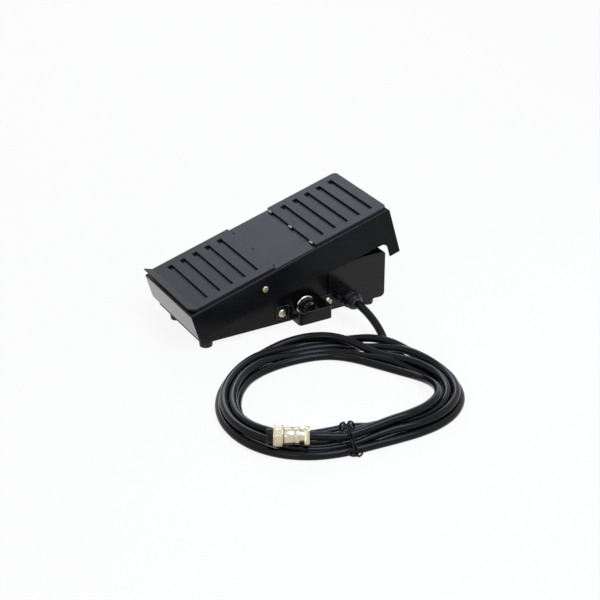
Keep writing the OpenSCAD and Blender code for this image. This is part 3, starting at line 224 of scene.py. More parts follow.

# %% [markdown]
# ## The coats on the sheet metal
# All the sheet metal is coated black. The coat is satin on the treadle's sides and worn duller on its top.
# The base pan has a glossier coat that mirrors the floor and the guard, and its colour is darker than the
# cover's as painted shade. Rounded edges take a lighter, more specular coat as a painted highlight. The
# tread pads are dark grey, with dust in their grain.

# %% Coats
COAT_DARK = (0.0042, 0.0045, 0.0056)
COAT_LIGHT = (0.007, 0.0072, 0.0082)
COOL_DUST = (0.14, 0.14, 0.15)
GREY_DUST = (0.14, 0.14, 0.14)
finishes = {
    "coat": finish("powder_coat", COAT_DARK, COAT_LIGHT, 0.2, dust=COOL_DUST, Specular_IOR_Level=0.1),
    "worn_coat": finish("worn_coat", COAT_DARK, COAT_LIGHT, 0.37, depth=0.00003, dust=COOL_DUST, dusty=0.25,
                        Specular_IOR_Level=0.15),
    # The flange coat's lighter colour and strong warm-tinted reflection paint a reflection on the treadle's
    # front faces.
    "flange_reflection_coat": finish("flange_reflection_coat", (0.006, 0.006, 0.007), (0.009, 0.009, 0.01), 0.24, depth=0.00002,
                          dust=COOL_DUST, Specular_IOR_Level=0.5, Specular_Tint=(1.0, 0.95, 0.86, 1.0),
                          Coat_Weight=0.5, Coat_Roughness=0.12),
    "guard_coat": finish("guard_coat", COAT_DARK, COAT_LIGHT, 0.2, dust=COOL_DUST, Specular_IOR_Level=0.2),
    # The edge coat's lighter colour and high specular level paint a highlight line along the rounded edges.
    "edge_highlight_coat": finish("edge_highlight_coat", (0.006, 0.0063, 0.0075), (0.01, 0.0104, 0.012), 0.26, dust=COOL_DUST,
                        Specular_IOR_Level=1.0),
    # Painted shade: the pan's coat is darker than the cover's, so its walls read as shadowed.
    "shaded_pan_coat": finish("shaded_pan_coat", (0.0026, 0.0025, 0.0024), (0.0038, 0.0036, 0.0034), 0.22,
                       dust=GREY_DUST, Specular_IOR_Level=0.17),
    "cover_coat": finish("cover_coat", (0.0046, 0.0043, 0.0041), (0.0066, 0.0062, 0.0059), 0.22,
                         dust=GREY_DUST, Specular_IOR_Level=0.25),
    "pad": finish("tread_coat", (0.009, 0.0092, 0.0105), (0.014, 0.0143, 0.016), 0.42, cloudy=0.06,
                  scuffed=0.14, grain=1800.0, depth=0.00004, dust=(0.2, 0.21, 0.23), dusty=0.45,
                  Specular_IOR_Level=0.17),
}
print("coats:", len(finishes))

# %% [markdown]
# ## Metals, rubber and plastic
# The plug and the screws are nickel with a warm tint, and the hidden hardware is zinc. The cable is glossy
# vinyl, the gland a satin plastic, and the feet are dull rubber.

# %% Metals
finishes.update({
    "nickel": finish("nickel_plate", (0.5, 0.42, 0.33), (0.6, 0.52, 0.42), 0.24, scuffed=0.15, grain=700.0,
                     Metallic=1.0),
    "plug_metal": finish("plug_nickel", (0.51, 0.44, 0.33), (0.6, 0.525, 0.41), 0.22, grain=800.0,
                         depth=0.000004, Metallic=1.0),
    "steel": finish("zinc_plate", (0.42, 0.42, 0.41), (0.55, 0.54, 0.5), 0.34, cloudy=0.08, scuffed=0.12,
                    grain=900.0, depth=0.00002, Metallic=1.0),
    "control_case": finish("drawn_case", (0.34, 0.33, 0.3), (0.46, 0.44, 0.4), 0.36, cloudy=0.08,
                           scuffed=0.14, grain=800.0, depth=0.00002, Metallic=1.0),
})
print("coats and metals:", len(finishes))

# %% Rubber and plastic
PLASTIC_DUST = (0.12, 0.12, 0.13)
finishes.update({
    "rubber": finish("black_rubber", (0.008, 0.008, 0.009), (0.015, 0.015, 0.016), 0.62, cloudy=0.1,
                     grain=1400.0, depth=0.00005, dust=(0.12, 0.12, 0.12), dusty=0.3,
                     Specular_IOR_Level=0.3),
    "seal_rubber": finish("seal_rubber", (0.07, 0.07, 0.075), (0.1, 0.1, 0.105), 0.5, cloudy=0.08,
                          grain=1400.0, depth=0.00003, Specular_IOR_Level=0.3),
    "black_plastic": finish("gland_plastic", (0.0042, 0.0044, 0.0055), (0.0068, 0.007, 0.0082), 0.2,
                            cloudy=0.06, scuffed=0.12, grain=1200.0, dust=PLASTIC_DUST, dusty=0.1,
                            Specular_IOR_Level=0.17),
    "knob_plastic": finish("knob_plastic", (0.003, 0.003, 0.0036), (0.005, 0.005, 0.0058), 0.14,
                           scuffed=0.14, grain=900.0, dust=PLASTIC_DUST, dusty=0.1,
                           Specular_IOR_Level=0.24),
    "marker": finish("amber_paint", (0.42, 0.19, 0.02), (0.55, 0.27, 0.04), 0.3),
    "nylon": finish("natural_nylon", (0.6, 0.57, 0.49), (0.7, 0.67, 0.6), 0.42, cloudy=0.06, grain=900.0,
                    depth=0.00002),
    "switch_case": finish("switch_case", (0.014, 0.017, 0.023), (0.022, 0.026, 0.034), 0.4, cloudy=0.06,
                          scuffed=0.12, grain=1200.0, depth=0.00003),
    "plunger": finish("red_plunger", (0.32, 0.035, 0.025), (0.42, 0.06, 0.04), 0.34, grain=1200.0),
    "cable": finish("cable_vinyl", (0.0034, 0.0036, 0.0046), (0.0055, 0.0057, 0.0068), 0.15, cloudy=0.04,
                    scuffed=0.08, grain=520.0, dust=(0.1, 0.1, 0.11), dusty=0.1, Specular_IOR_Level=0.15),
})
print("all finishes:", len(finishes))

# %% [markdown]
# The record names a material slot for every CAD node, and each slot has a finish of the same name. Only the
# gland's seal differs: it is a paler rubber than the feet.

# %% Dress the CAD nodes
OWN_FINISH = {"gland_seal": "seal_rubber"}
for subpart in frame["record"]["subparts"]:
    mesh = nodes[subpart["node"]].data
    mesh.materials.clear()
    mesh.materials.append(finishes[OWN_FINISH.get(subpart["node"], subpart["material_slot"])])

# %% [markdown]
# ## Putting a piece in the scene
# A piece is modelled as a bmesh, then written into a mesh at the origin. Its doubles are merged and its
# normals recalculated first, and edges sharper than an angle stay crisp.

# %% Piece helpers
MERGE = 0.00001
CRISP_ANGLE = math.radians(38)


def show(obj, body, slot, replaced, look=None):
    scene.collection.objects.link(obj)
    obj.data.materials.append(finishes[look or slot])
    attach(obj, body)
    if replaced:
        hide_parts(*replaced)
    return obj


def piece(name, bm, body, slot, *replaced, crisp=CRISP_ANGLE, look=None):
    bmesh.ops.remove_doubles(bm, verts=bm.verts, dist=MERGE)
    bmesh.ops.recalc_face_normals(bm, faces=bm.faces)
    mesh = bpy.data.meshes.new(name)
    bm.to_mesh(mesh)
    bm.free()
    mesh.shade_smooth()
    mesh.set_sharp_from_angle(angle=crisp)
    return show(bpy.data.objects.new(name, mesh), body, slot, replaced, look)


def pointing(at, direction):
    return Matrix.Translation(at) @ direction.to_track_quat("Z", "Y").to_matrix().to_4x4()


print("piece helpers ready")

# %% [markdown]
# ## The cable
# The cable leaves the gland level, falls to the floor in a short arc and runs into a loose coil of five and
# a half turns. It ends in the plug, which lies on the coil. The stretches at the gland and at the plug are
# given points, the same as in the CAD model. The coil is a loop: the angle runs on, and each turn
# has a lane. At the front and the far side the lanes lie side by side. At the left and the right they are
# pushed together, and every second lane rides in the valley between its neighbours.

# %% Cable: the coil's edge
DRAWN_AT = Vector((-0.00985, -0.117916, 0))
MM = 0.001
CABLE_R = 4.0
COIL_AT = Vector((189.0, 75.0, 0))
COIL_START = 125.5
EDGE_MEAN = 107.9
# Waves of the coil's edge: size, count round the coil and turn
EDGE_WAVES = [(3.0, 1, 38), (5.7, 2, 85), (6.2, 3, 52), (1.8, 4, -36)]


def drawn(x, y, z):
    return Vector((x, y, z)) * MM + DRAWN_AT


def cosd(angle):
    return math.cos(math.radians(angle))


def sind(angle):
    return math.sin(math.radians(angle))


def coil_edge(angle):
    return EDGE_MEAN + sum(size * cosd(count * (angle - turn)) for size, count, turn in EDGE_WAVES)


print("coil reach at its start:", round(coil_edge(COIL_START), 1), "mm")

# %% Cable: the lanes
LANE_FRONT = 9.3
LANE_FAR = 8.2
LANE_TIGHT = 4.15
INNER_LANE = 4
INNER_TIGHT = 8.3
# Where the lanes begin to close and where they are tight, in degrees off the front and off the far side
FRONT_ANGLE = -30
CLOSING_FRONT = (4, 60)
CLOSING_FAR = (12, 80)


def eased(run, first, last):
    part = min(1.0, max(0.0, (run - first) / (last - first)))
    return part * part * (3 - 2 * part)


def at_front(angle):
    return cosd(angle - FRONT_ANGLE) > 0


def tightness(angle, front, far):
    off = abs((angle - FRONT_ANGLE + 90) % 180 - 90)
    return eased(off, *(front if at_front(angle) else far))


def lane_depth(lane, angle):
    tight = tightness(angle, CLOSING_FRONT, CLOSING_FAR)
    loose = LANE_FRONT if at_front(angle) else LANE_FAR
    inner = max(0.0, lane - INNER_LANE)
    outer_part = (lane - inner) * (loose + (LANE_TIGHT - loose) * tight)
    return outer_part + inner * (loose + (INNER_TIGHT - loose) * tight)


print("second lane at the front:", round(lane_depth(1, FRONT_ANGLE), 1), "mm from the first")

# %% [markdown]
# The turns change lanes on the far side, where they pass over each other in long low humps. The first turn
# slips under the two outer ones, and the last one climbs from the inner lane over the others to the plug.

# %% Cable: lane changes, humps and climbs
# Lane changes: how many lanes inwards, from which run of the angle to which
LANE_START = 0.8
LANE_CHANGES = [(1.2, 8, 50), (-1, 316, 374), (-1, 670, 730), (3, 1008, 1114),
                (1, 1428, 1490), (1, 1790, 1836), (-4.05, 1850, 1948)]
# Humps over other turns: height, middle and half length
HUMPS = [(4.2, 377, 34), (8.9, 727.5, 36), (9.0, 1056, 52)]
# The last turn climbs onto the coil, then sinks a little towards the plug
CLIMBS = [(14.8, 1834, 1888), (-4.4, 1902, 1952)]
# The stretch of the coil whose odd lanes ride in the valleys, how high, and where they rise
STACK_FIRST = 60
STACK_LAST = 1834
VALLEY_LIFT = 7.0
VALLEY_SPREAD = 1.35
RISING_FRONT = (8, 40)
RISING_FAR = (20, 58)


def hump(run, middle, half):
    return cosd(90 * (run - middle) / half) ** 2 if abs(run - middle) < half else 0.0


def coil_point(run):
    angle = COIL_START - run
    lane = LANE_START + sum(count * eased(run, first, last) for count, first, last in LANE_CHANGES)
    reach = coil_edge(angle) - CABLE_R - lane_depth(lane, angle)
    high = CABLE_R + sum(height * hump(run, middle, half) for height, middle, half in HUMPS)
    high += sum(height * eased(run, first, last) for height, first, last in CLIMBS)
    if STACK_FIRST < run < STACK_LAST and 0 < lane < INNER_LANE:
        odd = min(1.0, VALLEY_SPREAD * sind(90 * lane) ** 2)
        high += VALLEY_LIFT * odd * tightness(angle, RISING_FRONT, RISING_FAR)
    return drawn(COIL_AT.x + reach * cosd(angle), COIL_AT.y + reach * sind(angle), high)


print("lane changes:", len(LANE_CHANGES), "humps:", len(HUMPS))

# %% [markdown]
# The route joins the three stretches. A point on the coil every twelve degrees is enough for a smooth
# curve, because the handles of a Bezier curve carry the bend between two points.

# %% Cable: the route
LEAD = [(56, 167.6, 24.5), (68, 167.6, 24.5), (80, 167.6, 24.5), (88, 168.2, 23.8),
        (96, 169.3, 21.6), (103.5, 170.5, 18.4), (110.5, 171.3, 14.8), (117.5, 171.4, 11.2),
        (124.5, 170.5, 8), (132, 168.6, 5.6), (140, 166.4, 4.3), (149, 165.3, 4)]
TAIL = [(271.2, 44.5, 14.4), (268.9, 33.2, 15.1), (265.4, 22.9, 16.8), (261, 13.2, 17.9),
        (256.5, 4.6, 17.9)]
COIL_FIRST = 22
COIL_LAST = 1930
COIL_STEP = 12

coil_points = [coil_point(run) for run in range(COIL_FIRST, COIL_LAST + 1, COIL_STEP)]
route = [drawn(*p) for p in LEAD] + coil_points + [drawn(*p) for p in TAIL]
print("points on the cable's route:", len(route))

# %% [markdown]
# A curve with a round bevel makes both the cable and the tie's wire. Each handle reaches a sixth of the
# way between the point's two neighbours, which is the rule that passes smoothly through every point.

# %% Cable: the curve
def curve_through(name, paths, radius, sides=6):
    curve = bpy.data.curves.new(name, "CURVE")
    curve.dimensions = "3D"
    curve.bevel_depth = radius
    curve.bevel_resolution = sides
    curve.resolution_u = 6
    curve.use_fill_caps = True
    for points, closed in paths:
        spline = curve.splines.new("BEZIER")
        spline.bezier_points.add(len(points) - 1)
        spline.use_cyclic_u = closed
        last = len(points) - 1
        for i, (knot, at) in enumerate(zip(spline.bezier_points, points)):
            if closed:
                reach = (points[(i + 1) % len(points)] - points[i - 1]) / 6
            else:
                reach = (points[min(i + 1, last)] - points[max(i - 1, 0)]) / (6 if 0 < i < last else 3)
            knot.co = at
            knot.handle_left = at - reach
            knot.handle_right = at + reach
    return bpy.data.objects.new(name, curve)


cable = show(curve_through("control_cable", [(route, False)], CABLE_R * MM), "base", "cable",
             ["cord_lead", "cord_coil", "cord_tail"])

# %% [markdown]
# ## The wire tie
# Two loops of black wire hold the coil. Each is a closed curve through points given as distances from the
# outermost turn: outwards, along the turn, and up. The wires stand up in two small ears behind the top
# turn, and their twisted ends lie in front of the coil.

# %% Wire tie: its points
TIE_LOOPS = [
    [(5.2, -1.2, 1.2), (5.4, -1.7, 4.5), (4.2, -2.6, 8.4), (-1.5, -3.2, 11.2), (-3.2, -4.2, 14.5),
     (-4.6, -5.1, 18), (-8.2, -5.1, 19.9), (-11.8, -5.3, 20.2), (-14, -6.2, 22.2), (-14.6, -8.4, 23.6),
     (-15.4, -10.2, 22), (-16.4, -10.6, 19), (-17.4, -9.6, 15.5), (-19.5, -8, 12.6), (-28, -5, 10),
     (-37, -2, 9.4), (-41.2, -1, 6.5), (-41.6, -1, 3.2), (-39.5, -1, 1.1), (-20, -1, 1.1), (3, -1, 1.1)],
    [(5.2, 0.7, 1.2), (5.4, 0.3, 4.5), (4.2, 0.1, 8.4), (-1.5, -0.6, 11.4), (-3.2, -1.4, 14.8),
     (-4.6, -2.7, 18.2), (-8.2, -3.6, 20), (-11.6, -3.9, 20.6), (-13.6, -3.9, 22.4), (-14.4, -2.8, 23.9),
     (-15, -1.2, 23.8), (-15.8, 0.6, 22.2), (-16.4, 1.8, 19.4), (-17.4, 2.2, 15.8), (-19.5, 2.2, 12.6),
     (-28, 2.4, 10), (-37, 2.8, 9.4), (-41.2, 3, 6.5), (-41.6, 3, 3.2), (-39.5, 3, 1.1), (-20, 2.4, 1.1),
     (3, 1.4, 1.1)],
]
TIE_ENDS = [
    [(5.6, -1.6, 4.4), (6.5, -1.9, 6.5), (6.5, -4.9, 9.2), (6.5, -7.5, 8.8), (6.6, -8.1, 6.4),
     (6.8, -6.1, 3.5), (7, -3.3, 2.6), (7.2, -0.8, 3.7), (7.4, 0.4, 5)],
    [(5.6, 0.5, 3.6), (6.6, 0.9, 1.6), (7, 2.6, 2.2), (7, 4.2, 4.5), (6.8, 3.4, 6.6)],
]
print("tie points:", [len(path) for path in TIE_LOOPS + TIE_ENDS])

# %% Wire tie
TIE_ANGLE = -18
TIE_WIRE_R = 0.88


def at_tie(out, along, up):
    reach = coil_edge(TIE_ANGLE) - CABLE_R + out
    return drawn(COIL_AT.x + reach * cosd(TIE_ANGLE) - along * sind(TIE_ANGLE),
                 COIL_AT.y + reach * sind(TIE_ANGLE) + along * cosd(TIE_ANGLE), up)


tie_paths = [([at_tie(*p) for p in loop], True) for loop in TIE_LOOPS]
tie_paths += [([at_tie(*p) for p in end], False) for end in TIE_ENDS]
tie_curve = curve_through("wire_tie", tie_paths, TIE_WIRE_R * MM, sides=4)
tie = show(tie_curve, "base", "black_plastic", ["cord_tie"])
print("tie wires:", len(tie.data.splines))

# %% [markdown]
# ## Softened edges
# Folded and coated sheet has no knife edges: the coat rounds them, and each rounded edge catches a thin
# line of light. A copy of a CAD node is merged, its flat triangles are joined into whole faces, and a
# narrow bevel rounds the edges between them. A Weighted Normal modifier keeps the large faces flat in
# their shading. The copy then stands for the node.

# %% Helpers for softened copies
SOFT_ANGLE = math.radians(40)
FLAT_ANGLE = math.radians(0.5)


def copy_of(node):
    bm = bmesh.new()
    bm.from_mesh(nodes[node].data)
    bmesh.ops.remove_doubles(bm, verts=bm.verts, dist=MERGE)
    bmesh.ops.dissolve_limit(bm, angle_limit=FLAT_ANGLE, verts=bm.verts, edges=bm.edges)
    return bm


def rounded(bm, edges, width, segments):
    made = bmesh.ops.bevel(bm, geom=edges, offset=width * MM, segments=segments, profile=0.5,
                           affect="EDGES", material=-1, clamp_overlap=True)
    return made["faces"]


def soften(bm, width, chosen=None, edge_look=0):
    edges = [e for e in bm.edges if len(e.link_faces) == 2 and e.calc_face_angle(0.0) > SOFT_ANGLE]
    if chosen:
        edges = [e for e in edges if all(chosen(v.co) for v in e.verts)]
    for face in rounded(bm, edges, width, 2):
        if edge_look:
            face.material_index = edge_look
    return bm


def soft_piece(name, bm, body, slot, *replaced, look=None):
    made = piece(name, bm, body, slot, *replaced, look=look)
    flat = made.modifiers.new("flat_faces", "WEIGHTED_NORMAL")
    flat.keep_sharp = True
    print(name, len(made.data.vertices), "points")
    return made


print("softening angle:", round(math.degrees(SOFT_ANGLE)))

# %% [markdown]
# The front pad's lip is a thin sheet that is folded up over the treadle's edge. The CAD lip is a short arc
# of the pad's full thickness, so its points are moved to a flat strip that thins towards its edge. A point
# belongs to the arc when it lies on the arc's inside or outside, seen along the fold.

# %% Front tread pad
TREADLE_PLACE = Matrix.Translation(drawn(0, 0, 40.5)) @ Matrix.Rotation(math.radians(16), 4, "X")
PAD_T = 2.5
PAD_EDGE = 0.35
PAD_TOP = PAD_T - 0.05
LIP_FOLD = 8.5
LIP_R = 5.5
LIP_TURN = math.radians(60)
LIP_EDGE_T = 1.1
STRIP_AHEAD = 7.7
STRIP_RISE = 4.9
STRIP_TURN = math.atan2(STRIP_RISE, STRIP_AHEAD)
LEAN_RATE = 3
ON_ARC = 0.06
A_HAIR = 0.01


def on_treadle(co):
    return TREADLE_PLACE.inverted() @ co / MM


def on_pad_top(co):
    return on_treadle(co).z > PAD_TOP


def flare_lip(bm):
    moved = 0
    for vert in bm.verts:
        local = on_treadle(vert.co)
        ahead, below = LIP_FOLD - local.y, PAD_T + LIP_R - local.z
        turn, reach = math.atan2(ahead, below), math.hypot(ahead, below)
        outside = abs(reach - LIP_R - PAD_T) < ON_ARC
        inside = abs(reach - LIP_R) < ON_ARC
        if ahead > A_HAIR and 0 < turn < LIP_TURN + A_HAIR and (outside or inside):
            share = turn / LIP_TURN
            thick = PAD_T + (LIP_EDGE_T - PAD_T) * share if outside else 0
            lean = STRIP_TURN * min(1.0, LEAN_RATE * share)
            local.y = LIP_FOLD - STRIP_AHEAD * share - thick * math.sin(lean)
            local.z = PAD_T + STRIP_RISE * share - thick * math.cos(lean)
            vert.co = TREADLE_PLACE @ (local * MM)
            moved += 1
    return moved


front_bm = copy_of("front_pad")
print("lip points moved:", flare_lip(front_bm))
soft_piece("front_tread_pad", soften(front_bm, PAD_EDGE, on_pad_top), "treadle", "pad", "front_pad")

# %% [markdown]
# The rear pad hooks into the treadle with three bent tabs. Each bend is rounded more than the other edges,
# and its faces take bright zinc-plated steel, the pad's second material, as a painted glint.

# %% Rear tread pad
HOOK_BEND = 0.8
HOOK_REACH = 0.05
GLINT_STEEL = 1


def glint_hooks(bm):
    local = {v: on_treadle(v.co) for v in bm.verts}
    first = min(at.y for at in local.values())
    bent = {v for v, at in local.items() if at.y < first + HOOK_REACH and at.z > PAD_TOP}
    bends = [e for e in bm.edges if bent.issuperset(e.verts)]
    # The bends' bright steel is a painted glint.
    for face in rounded(bm, bends, HOOK_BEND, 4):
        face.material_index = GLINT_STEEL
    return len(bends)


rear_bm = copy_of("rear_pad")
print("hooks worn bright:", glint_hooks(rear_bm))
rear_pad = soft_piece("rear_tread_pad", soften(rear_bm, PAD_EDGE, on_pad_top), "treadle", "pad", "rear_pad")
rear_pad.data.materials.append(finishes["steel"])

# %% [markdown]
# The guard and the treadle are softened in the same way, and their rounded edges take the edge coat, whose
# lighter colour and high specular level paint a highlight along them. The treadle's faces are then sorted
# by
# the way they point: the front flange takes a lighter coat with a strong, warm-tinted reflection, a painted
# reflection, and the top is worn dull.

# %% Guard and treadle
GUARD_EDGE = 0.6
TREADLE_EDGE = 0.5
TREADLE_LOOKS = ["coat", "flange_reflection_coat", "worn_coat", "edge_highlight_coat"]
FLANGE_REACH = 1
FACES_FORWARD = 0.95
FACES_UP = 0.98

guard_bm = soften(copy_of("knob_guard"), GUARD_EDGE, edge_look=1)
soft_guard = soft_piece("soft_guard", guard_bm, "base", "coat", "knob_guard", look="guard_coat")
soft_guard.data.materials.append(finishes["edge_highlight_coat"])

treadle_bm = soften(copy_of("treadle"), TREADLE_EDGE, edge_look=TREADLE_LOOKS.index("edge_highlight_coat"))
soft_treadle = soft_piece("soft_treadle", treadle_bm, "treadle", "coat", "treadle")
for look in TREADLE_LOOKS[1:]:
    soft_treadle.data.materials.append(finishes[look])
forward = TREADLE_PLACE.to_3x3() @ Vector((0, -1, 0))
upward = TREADLE_PLACE.to_3x3() @ Vector((0, 0, 1))
for face in soft_treadle.data.polygons:
    # Faces that point forward on the front flange take the painted reflection.
    if face.normal.dot(forward) > FACES_FORWARD and on_treadle(face.center).y < FLANGE_REACH:
        face.material_index = TREADLE_LOOKS.index("flange_reflection_coat")
    elif face.normal.dot(upward) > FACES_UP:
        face.material_index = TREADLE_LOOKS.index("worn_coat")

# %% [markdown]
# The pan and the rear cover stay in the treadle's shade, so a narrower edge is enough for them. The gland's
# body is moulded, with rounder edges.

# %% Pan, rear cover and gland body
BASE_EDGE = 0.3
GLAND_EDGE = 0.5
pan_bm = soften(copy_of("base_pan"), BASE_EDGE)
soft_piece("soft_pan", pan_bm, "base", "coat", "base_pan", look="shaded_pan_coat")
cover_bm = soften(copy_of("rear_cover"), BASE_EDGE)
soft_piece("soft_cover", cover_bm, "base", "coat", "rear_cover", look="cover_coat")
gland_bm = soften(copy_of("gland_body"), GLAND_EDGE)
soft_piece("soft_gland", gland_bm, "base", "black_plastic", "gland_body")

# %% [markdown]
# ## The return spring
# The spring stands between its seat and the cap under the treadle. It is a copy of its node, given a mesh
# of its own.

# %% Return spring
SPRING_CRISP = math.radians(75)
spring = piece("coil_spring", copy_of("return_spring"), "base", "steel", "return_spring",
               crisp=SPRING_CRISP)
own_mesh(spring)
print("spring points:", len(spring.data.vertices))

# %% [markdown]
# ## Turned pieces
# The plug, the gland's nut, the knob and the screw heads all start from a profile that is spun round an
# axis: a list of points, each a radius and a place along the axis. Flutes and knurls then push points of
# the turned mesh inwards by their angle.

# %% Helpers for turned pieces
def place_part(bm, part, place):
    bmesh.ops.transform(part, matrix=place, verts=part.verts)
    mesh = bpy.data.meshes.new("turned")
    part.to_mesh(mesh)
    part.free()
    bm.from_mesh(mesh)
    bpy.data.meshes.remove(mesh)
    return bm


def lathe(bm, profile, steps, place, twist=0.0):
    part = bmesh.new()
    verts = [part.verts.new((radius * MM, 0, along * MM)) for radius, along in profile]
    edges = [part.edges.new(pair) for pair in zip(verts, verts[1:])]
    bmesh.ops.spin(part, geom=verts + edges, axis=(0, 0, 1), cent=(0, 0, 0), angle=math.tau, steps=steps,
                   use_merge=True)
    bmesh.ops.remove_doubles(part, verts=part.verts, dist=MERGE)
    bmesh.ops.rotate(part, verts=part.verts, cent=(0, 0, 0),
                     matrix=Matrix.Rotation(math.radians(twist), 3, "Z"))
    return place_part(bm, part, place)


def flute(bm, place, count, depth, low, high, least):
    inverse = place.inverted()
    for vert in bm.verts:
        local = inverse @ vert.co
        radius = math.hypot(local.x, local.y)
        if low * MM < local.z < high * MM and radius > least * MM:
            wave = 0.5 - 0.5 * math.cos(count * math.atan2(local.y, local.x))
            share = 1 - depth * MM * wave / radius
            vert.co = place @ Vector((local.x * share, local.y * share, local.z))


print("helpers for turned pieces ready")

# %% [markdown]
# ## Screw heads
# The guard's and the pivot's screws have nickel pan heads with a cross recess. A head is turned with many
# rings of points on its crown, and the points within the cross are pushed down. The profile is given as
# shares of the head's radius and height. The shanks stay hidden in the sheet metal, so each new screw is a
# head with a short plain shank behind it.

# %% Pan head
HEAD_RIM = [(0.3, 0), (1, 0), (1, 0.38), (0.97, 0.55), (0.9, 0.72), (0.8, 0.84), (0.7, 0.91)]
CROWN_R = 0.66
CROWN_FOOT = 0.925
CROWN_RISE = 0.075
CROWN_RINGS = 18
HEAD_CROWN = [(CROWN_R * (1 - k / CROWN_RINGS), CROWN_FOOT + CROWN_RISE * k / CROWN_RINGS)
              for k in range(CROWN_RINGS + 1)]
HEAD_STEPS = 72
# The cross: the level it starts from, its arm, half its width, its depth and how far its arms rise again
RECESS_LEVEL = 0.9
RECESS_ARM = 0.56
RECESS_HALF = 0.13
RECESS_DEPTH = 0.62
RECESS_RISE = 0.5


def pan_head(bm, at, direction, radius, height, turn):
    part = bmesh.new()
    profile = [(r * radius, z * height) for r, z in HEAD_RIM + HEAD_CROWN]
    lathe(part, profile, HEAD_STEPS, Matrix.Identity(4))
    arm, half = RECESS_ARM * radius * MM, RECESS_HALF * radius * MM
    for vert in part.verts:
        x, y = abs(vert.co.x), abs(vert.co.y)
        if vert.co.z > RECESS_LEVEL * height * MM and min(x, y) < half and max(x, y) < arm:
            vert.co.z -= RECESS_DEPTH * height * MM * (1 - RECESS_RISE * max(x, y) / arm)
    return place_part(bm, part, pointing(at, direction) @ Matrix.Rotation(math.radians(turn), 4, "Z"))


print("rings on a head:", len(HEAD_RIM) + len(HEAD_CROWN))

# %% Screw heads
SIDE = Vector((1, 0, 0))
KNOB_Y = 125.59
GUARD_HALF = 26.3
# Each head: its place, the side it faces and the turn of its cross
GUARD_HEADS = [(51.5, KNOB_Y - GUARD_HALF, 18.2, 1, 20), (51.5, KNOB_Y + GUARD_HALF, 18.2, 1, 62)]
PIVOT_HEADS = [(52.5, 80.567, 49.766, 1, 38), (-52.5, 80.567, 49.766, -1, 75)]
GUARD_SHANK = [(0.2, -7.8), (1.5, -7.8), (1.85, -7.2), (1.85, 0)]
PIVOT_SHANK = [(0.2, -6.5), (1.2, -6.5), (1.45, -6), (1.45, 0)]
SHANK_STEPS = 24
# Radius and height of a head
GUARD_HEAD = (4.2, 2.6)
PIVOT_HEAD = (3.2, 1.8)


def screws(heads, size, shank):
    bm = bmesh.new()
    for x, y, z, side, turn in heads:
        pan_head(bm, drawn(x, y, z), SIDE * side, *size, turn)
        lathe(bm, shank, SHANK_STEPS, pointing(drawn(x, y, z), SIDE * side))
    return bm


guard_heads_bm = screws(GUARD_HEADS, GUARD_HEAD, GUARD_SHANK)
piece("guard_screw_heads", guard_heads_bm, "base", "nickel", "guard_screws")
pivot_heads_bm = screws(PIVOT_HEADS, PIVOT_HEAD, PIVOT_SHANK)
piece("pivot_screw_heads", pivot_heads_bm, "treadle", "nickel", "pivot_screws")
print("screw heads:", len(GUARD_HEADS) + len(PIVOT_HEADS))

# %% [markdown]
# ## The knob
# The knob is a turned flange and grip with fourteen flutes and a shallow dish in its face. A bright metal
# skirt shows behind it.

# %% Knob
KNOB_AT = drawn(54, KNOB_Y, 20.5)
KNOB_FLUTES = 14
FLUTE_STEPS = 10
SKIRT_STEPS = 96
KNOB_CRISP = math.radians(60)
KNOB_PROFILE = [(3.1, 0), (9.2, 0), (9.5, 0.3), (9.5, 1.2), (9.35, 1.7), (9, 2.1), (8.4, 2.35),
                (7.85, 2.45), (7.8, 2.7), (7.8, 3.4), (7.8, 4.6), (7.75, 5.8), (7.6, 6.5), (7.25, 7),
                (6.7, 7.3), (6.1, 7.4), (5.2, 7.32), (4.6, 7.15), (2.5, 7.05), (0, 7)]
SKIRT_AT = drawn(52.6, KNOB_Y, 20.5)
SKIRT_PROFILE = [(4.2, 0), (10.2, 0), (10.5, 0.25), (10.5, 0.5), (10.35, 0.75), (9.7, 1.36), (9.5, 1.4),
                 (4.2, 1.4), (4.2, 0)]

knob_place = pointing(KNOB_AT, SIDE)
knob_bm = lathe(bmesh.new(), KNOB_PROFILE, KNOB_FLUTES * FLUTE_STEPS, knob_place)
flute(knob_bm, knob_place, KNOB_FLUTES, depth=0.9, low=2.6, high=7.35, least=6.4)
knob = piece("fluted_knob", knob_bm, "knob", "knob_plastic", "limit_knob", crisp=KNOB_CRISP)
skirt_bm = lathe(bmesh.new(), SKIRT_PROFILE, SKIRT_STEPS, pointing(SKIRT_AT, SIDE))
skirt = piece("bright_skirt", skirt_bm, "knob", "nickel", "knob_skirt")
print("knob and skirt points:", len(knob.data.vertices), len(skirt.data.vertices))

# %% [markdown]
# ## The gland's nut
# The nut is a hexagon with softened corners, which a spin of six steps makes. A full rounded dome ends in
# the hole for the cable.

# %% Gland nut
GLAND_AT = drawn(63, 167.59, 24.5)
NUT_PROFILE = [(5.6, 0), (9.3, 0), (10, 0.5), (10, 11.2), (9.1, 12), (5.6, 12)]
NUT_SIDES = 6
NUT_TWIST = 30
NUT_CORNER = 0.7
CORNER_LENGTH = 5
DOME_STEPS = 72
DOME_PROFILE = [(6.5, 11.6), (8.4, 11.8), (8.65, 12.2), (8.65, 13), (8.5, 14), (8.2, 15), (7.75, 16),
                (7.2, 16.9), (6.65, 17.6), (6.3, 18.1), (6.1, 18.6), (5.9, 18.9), (5.7, 19), (5.55, 18.8),
                (5.55, 15)]

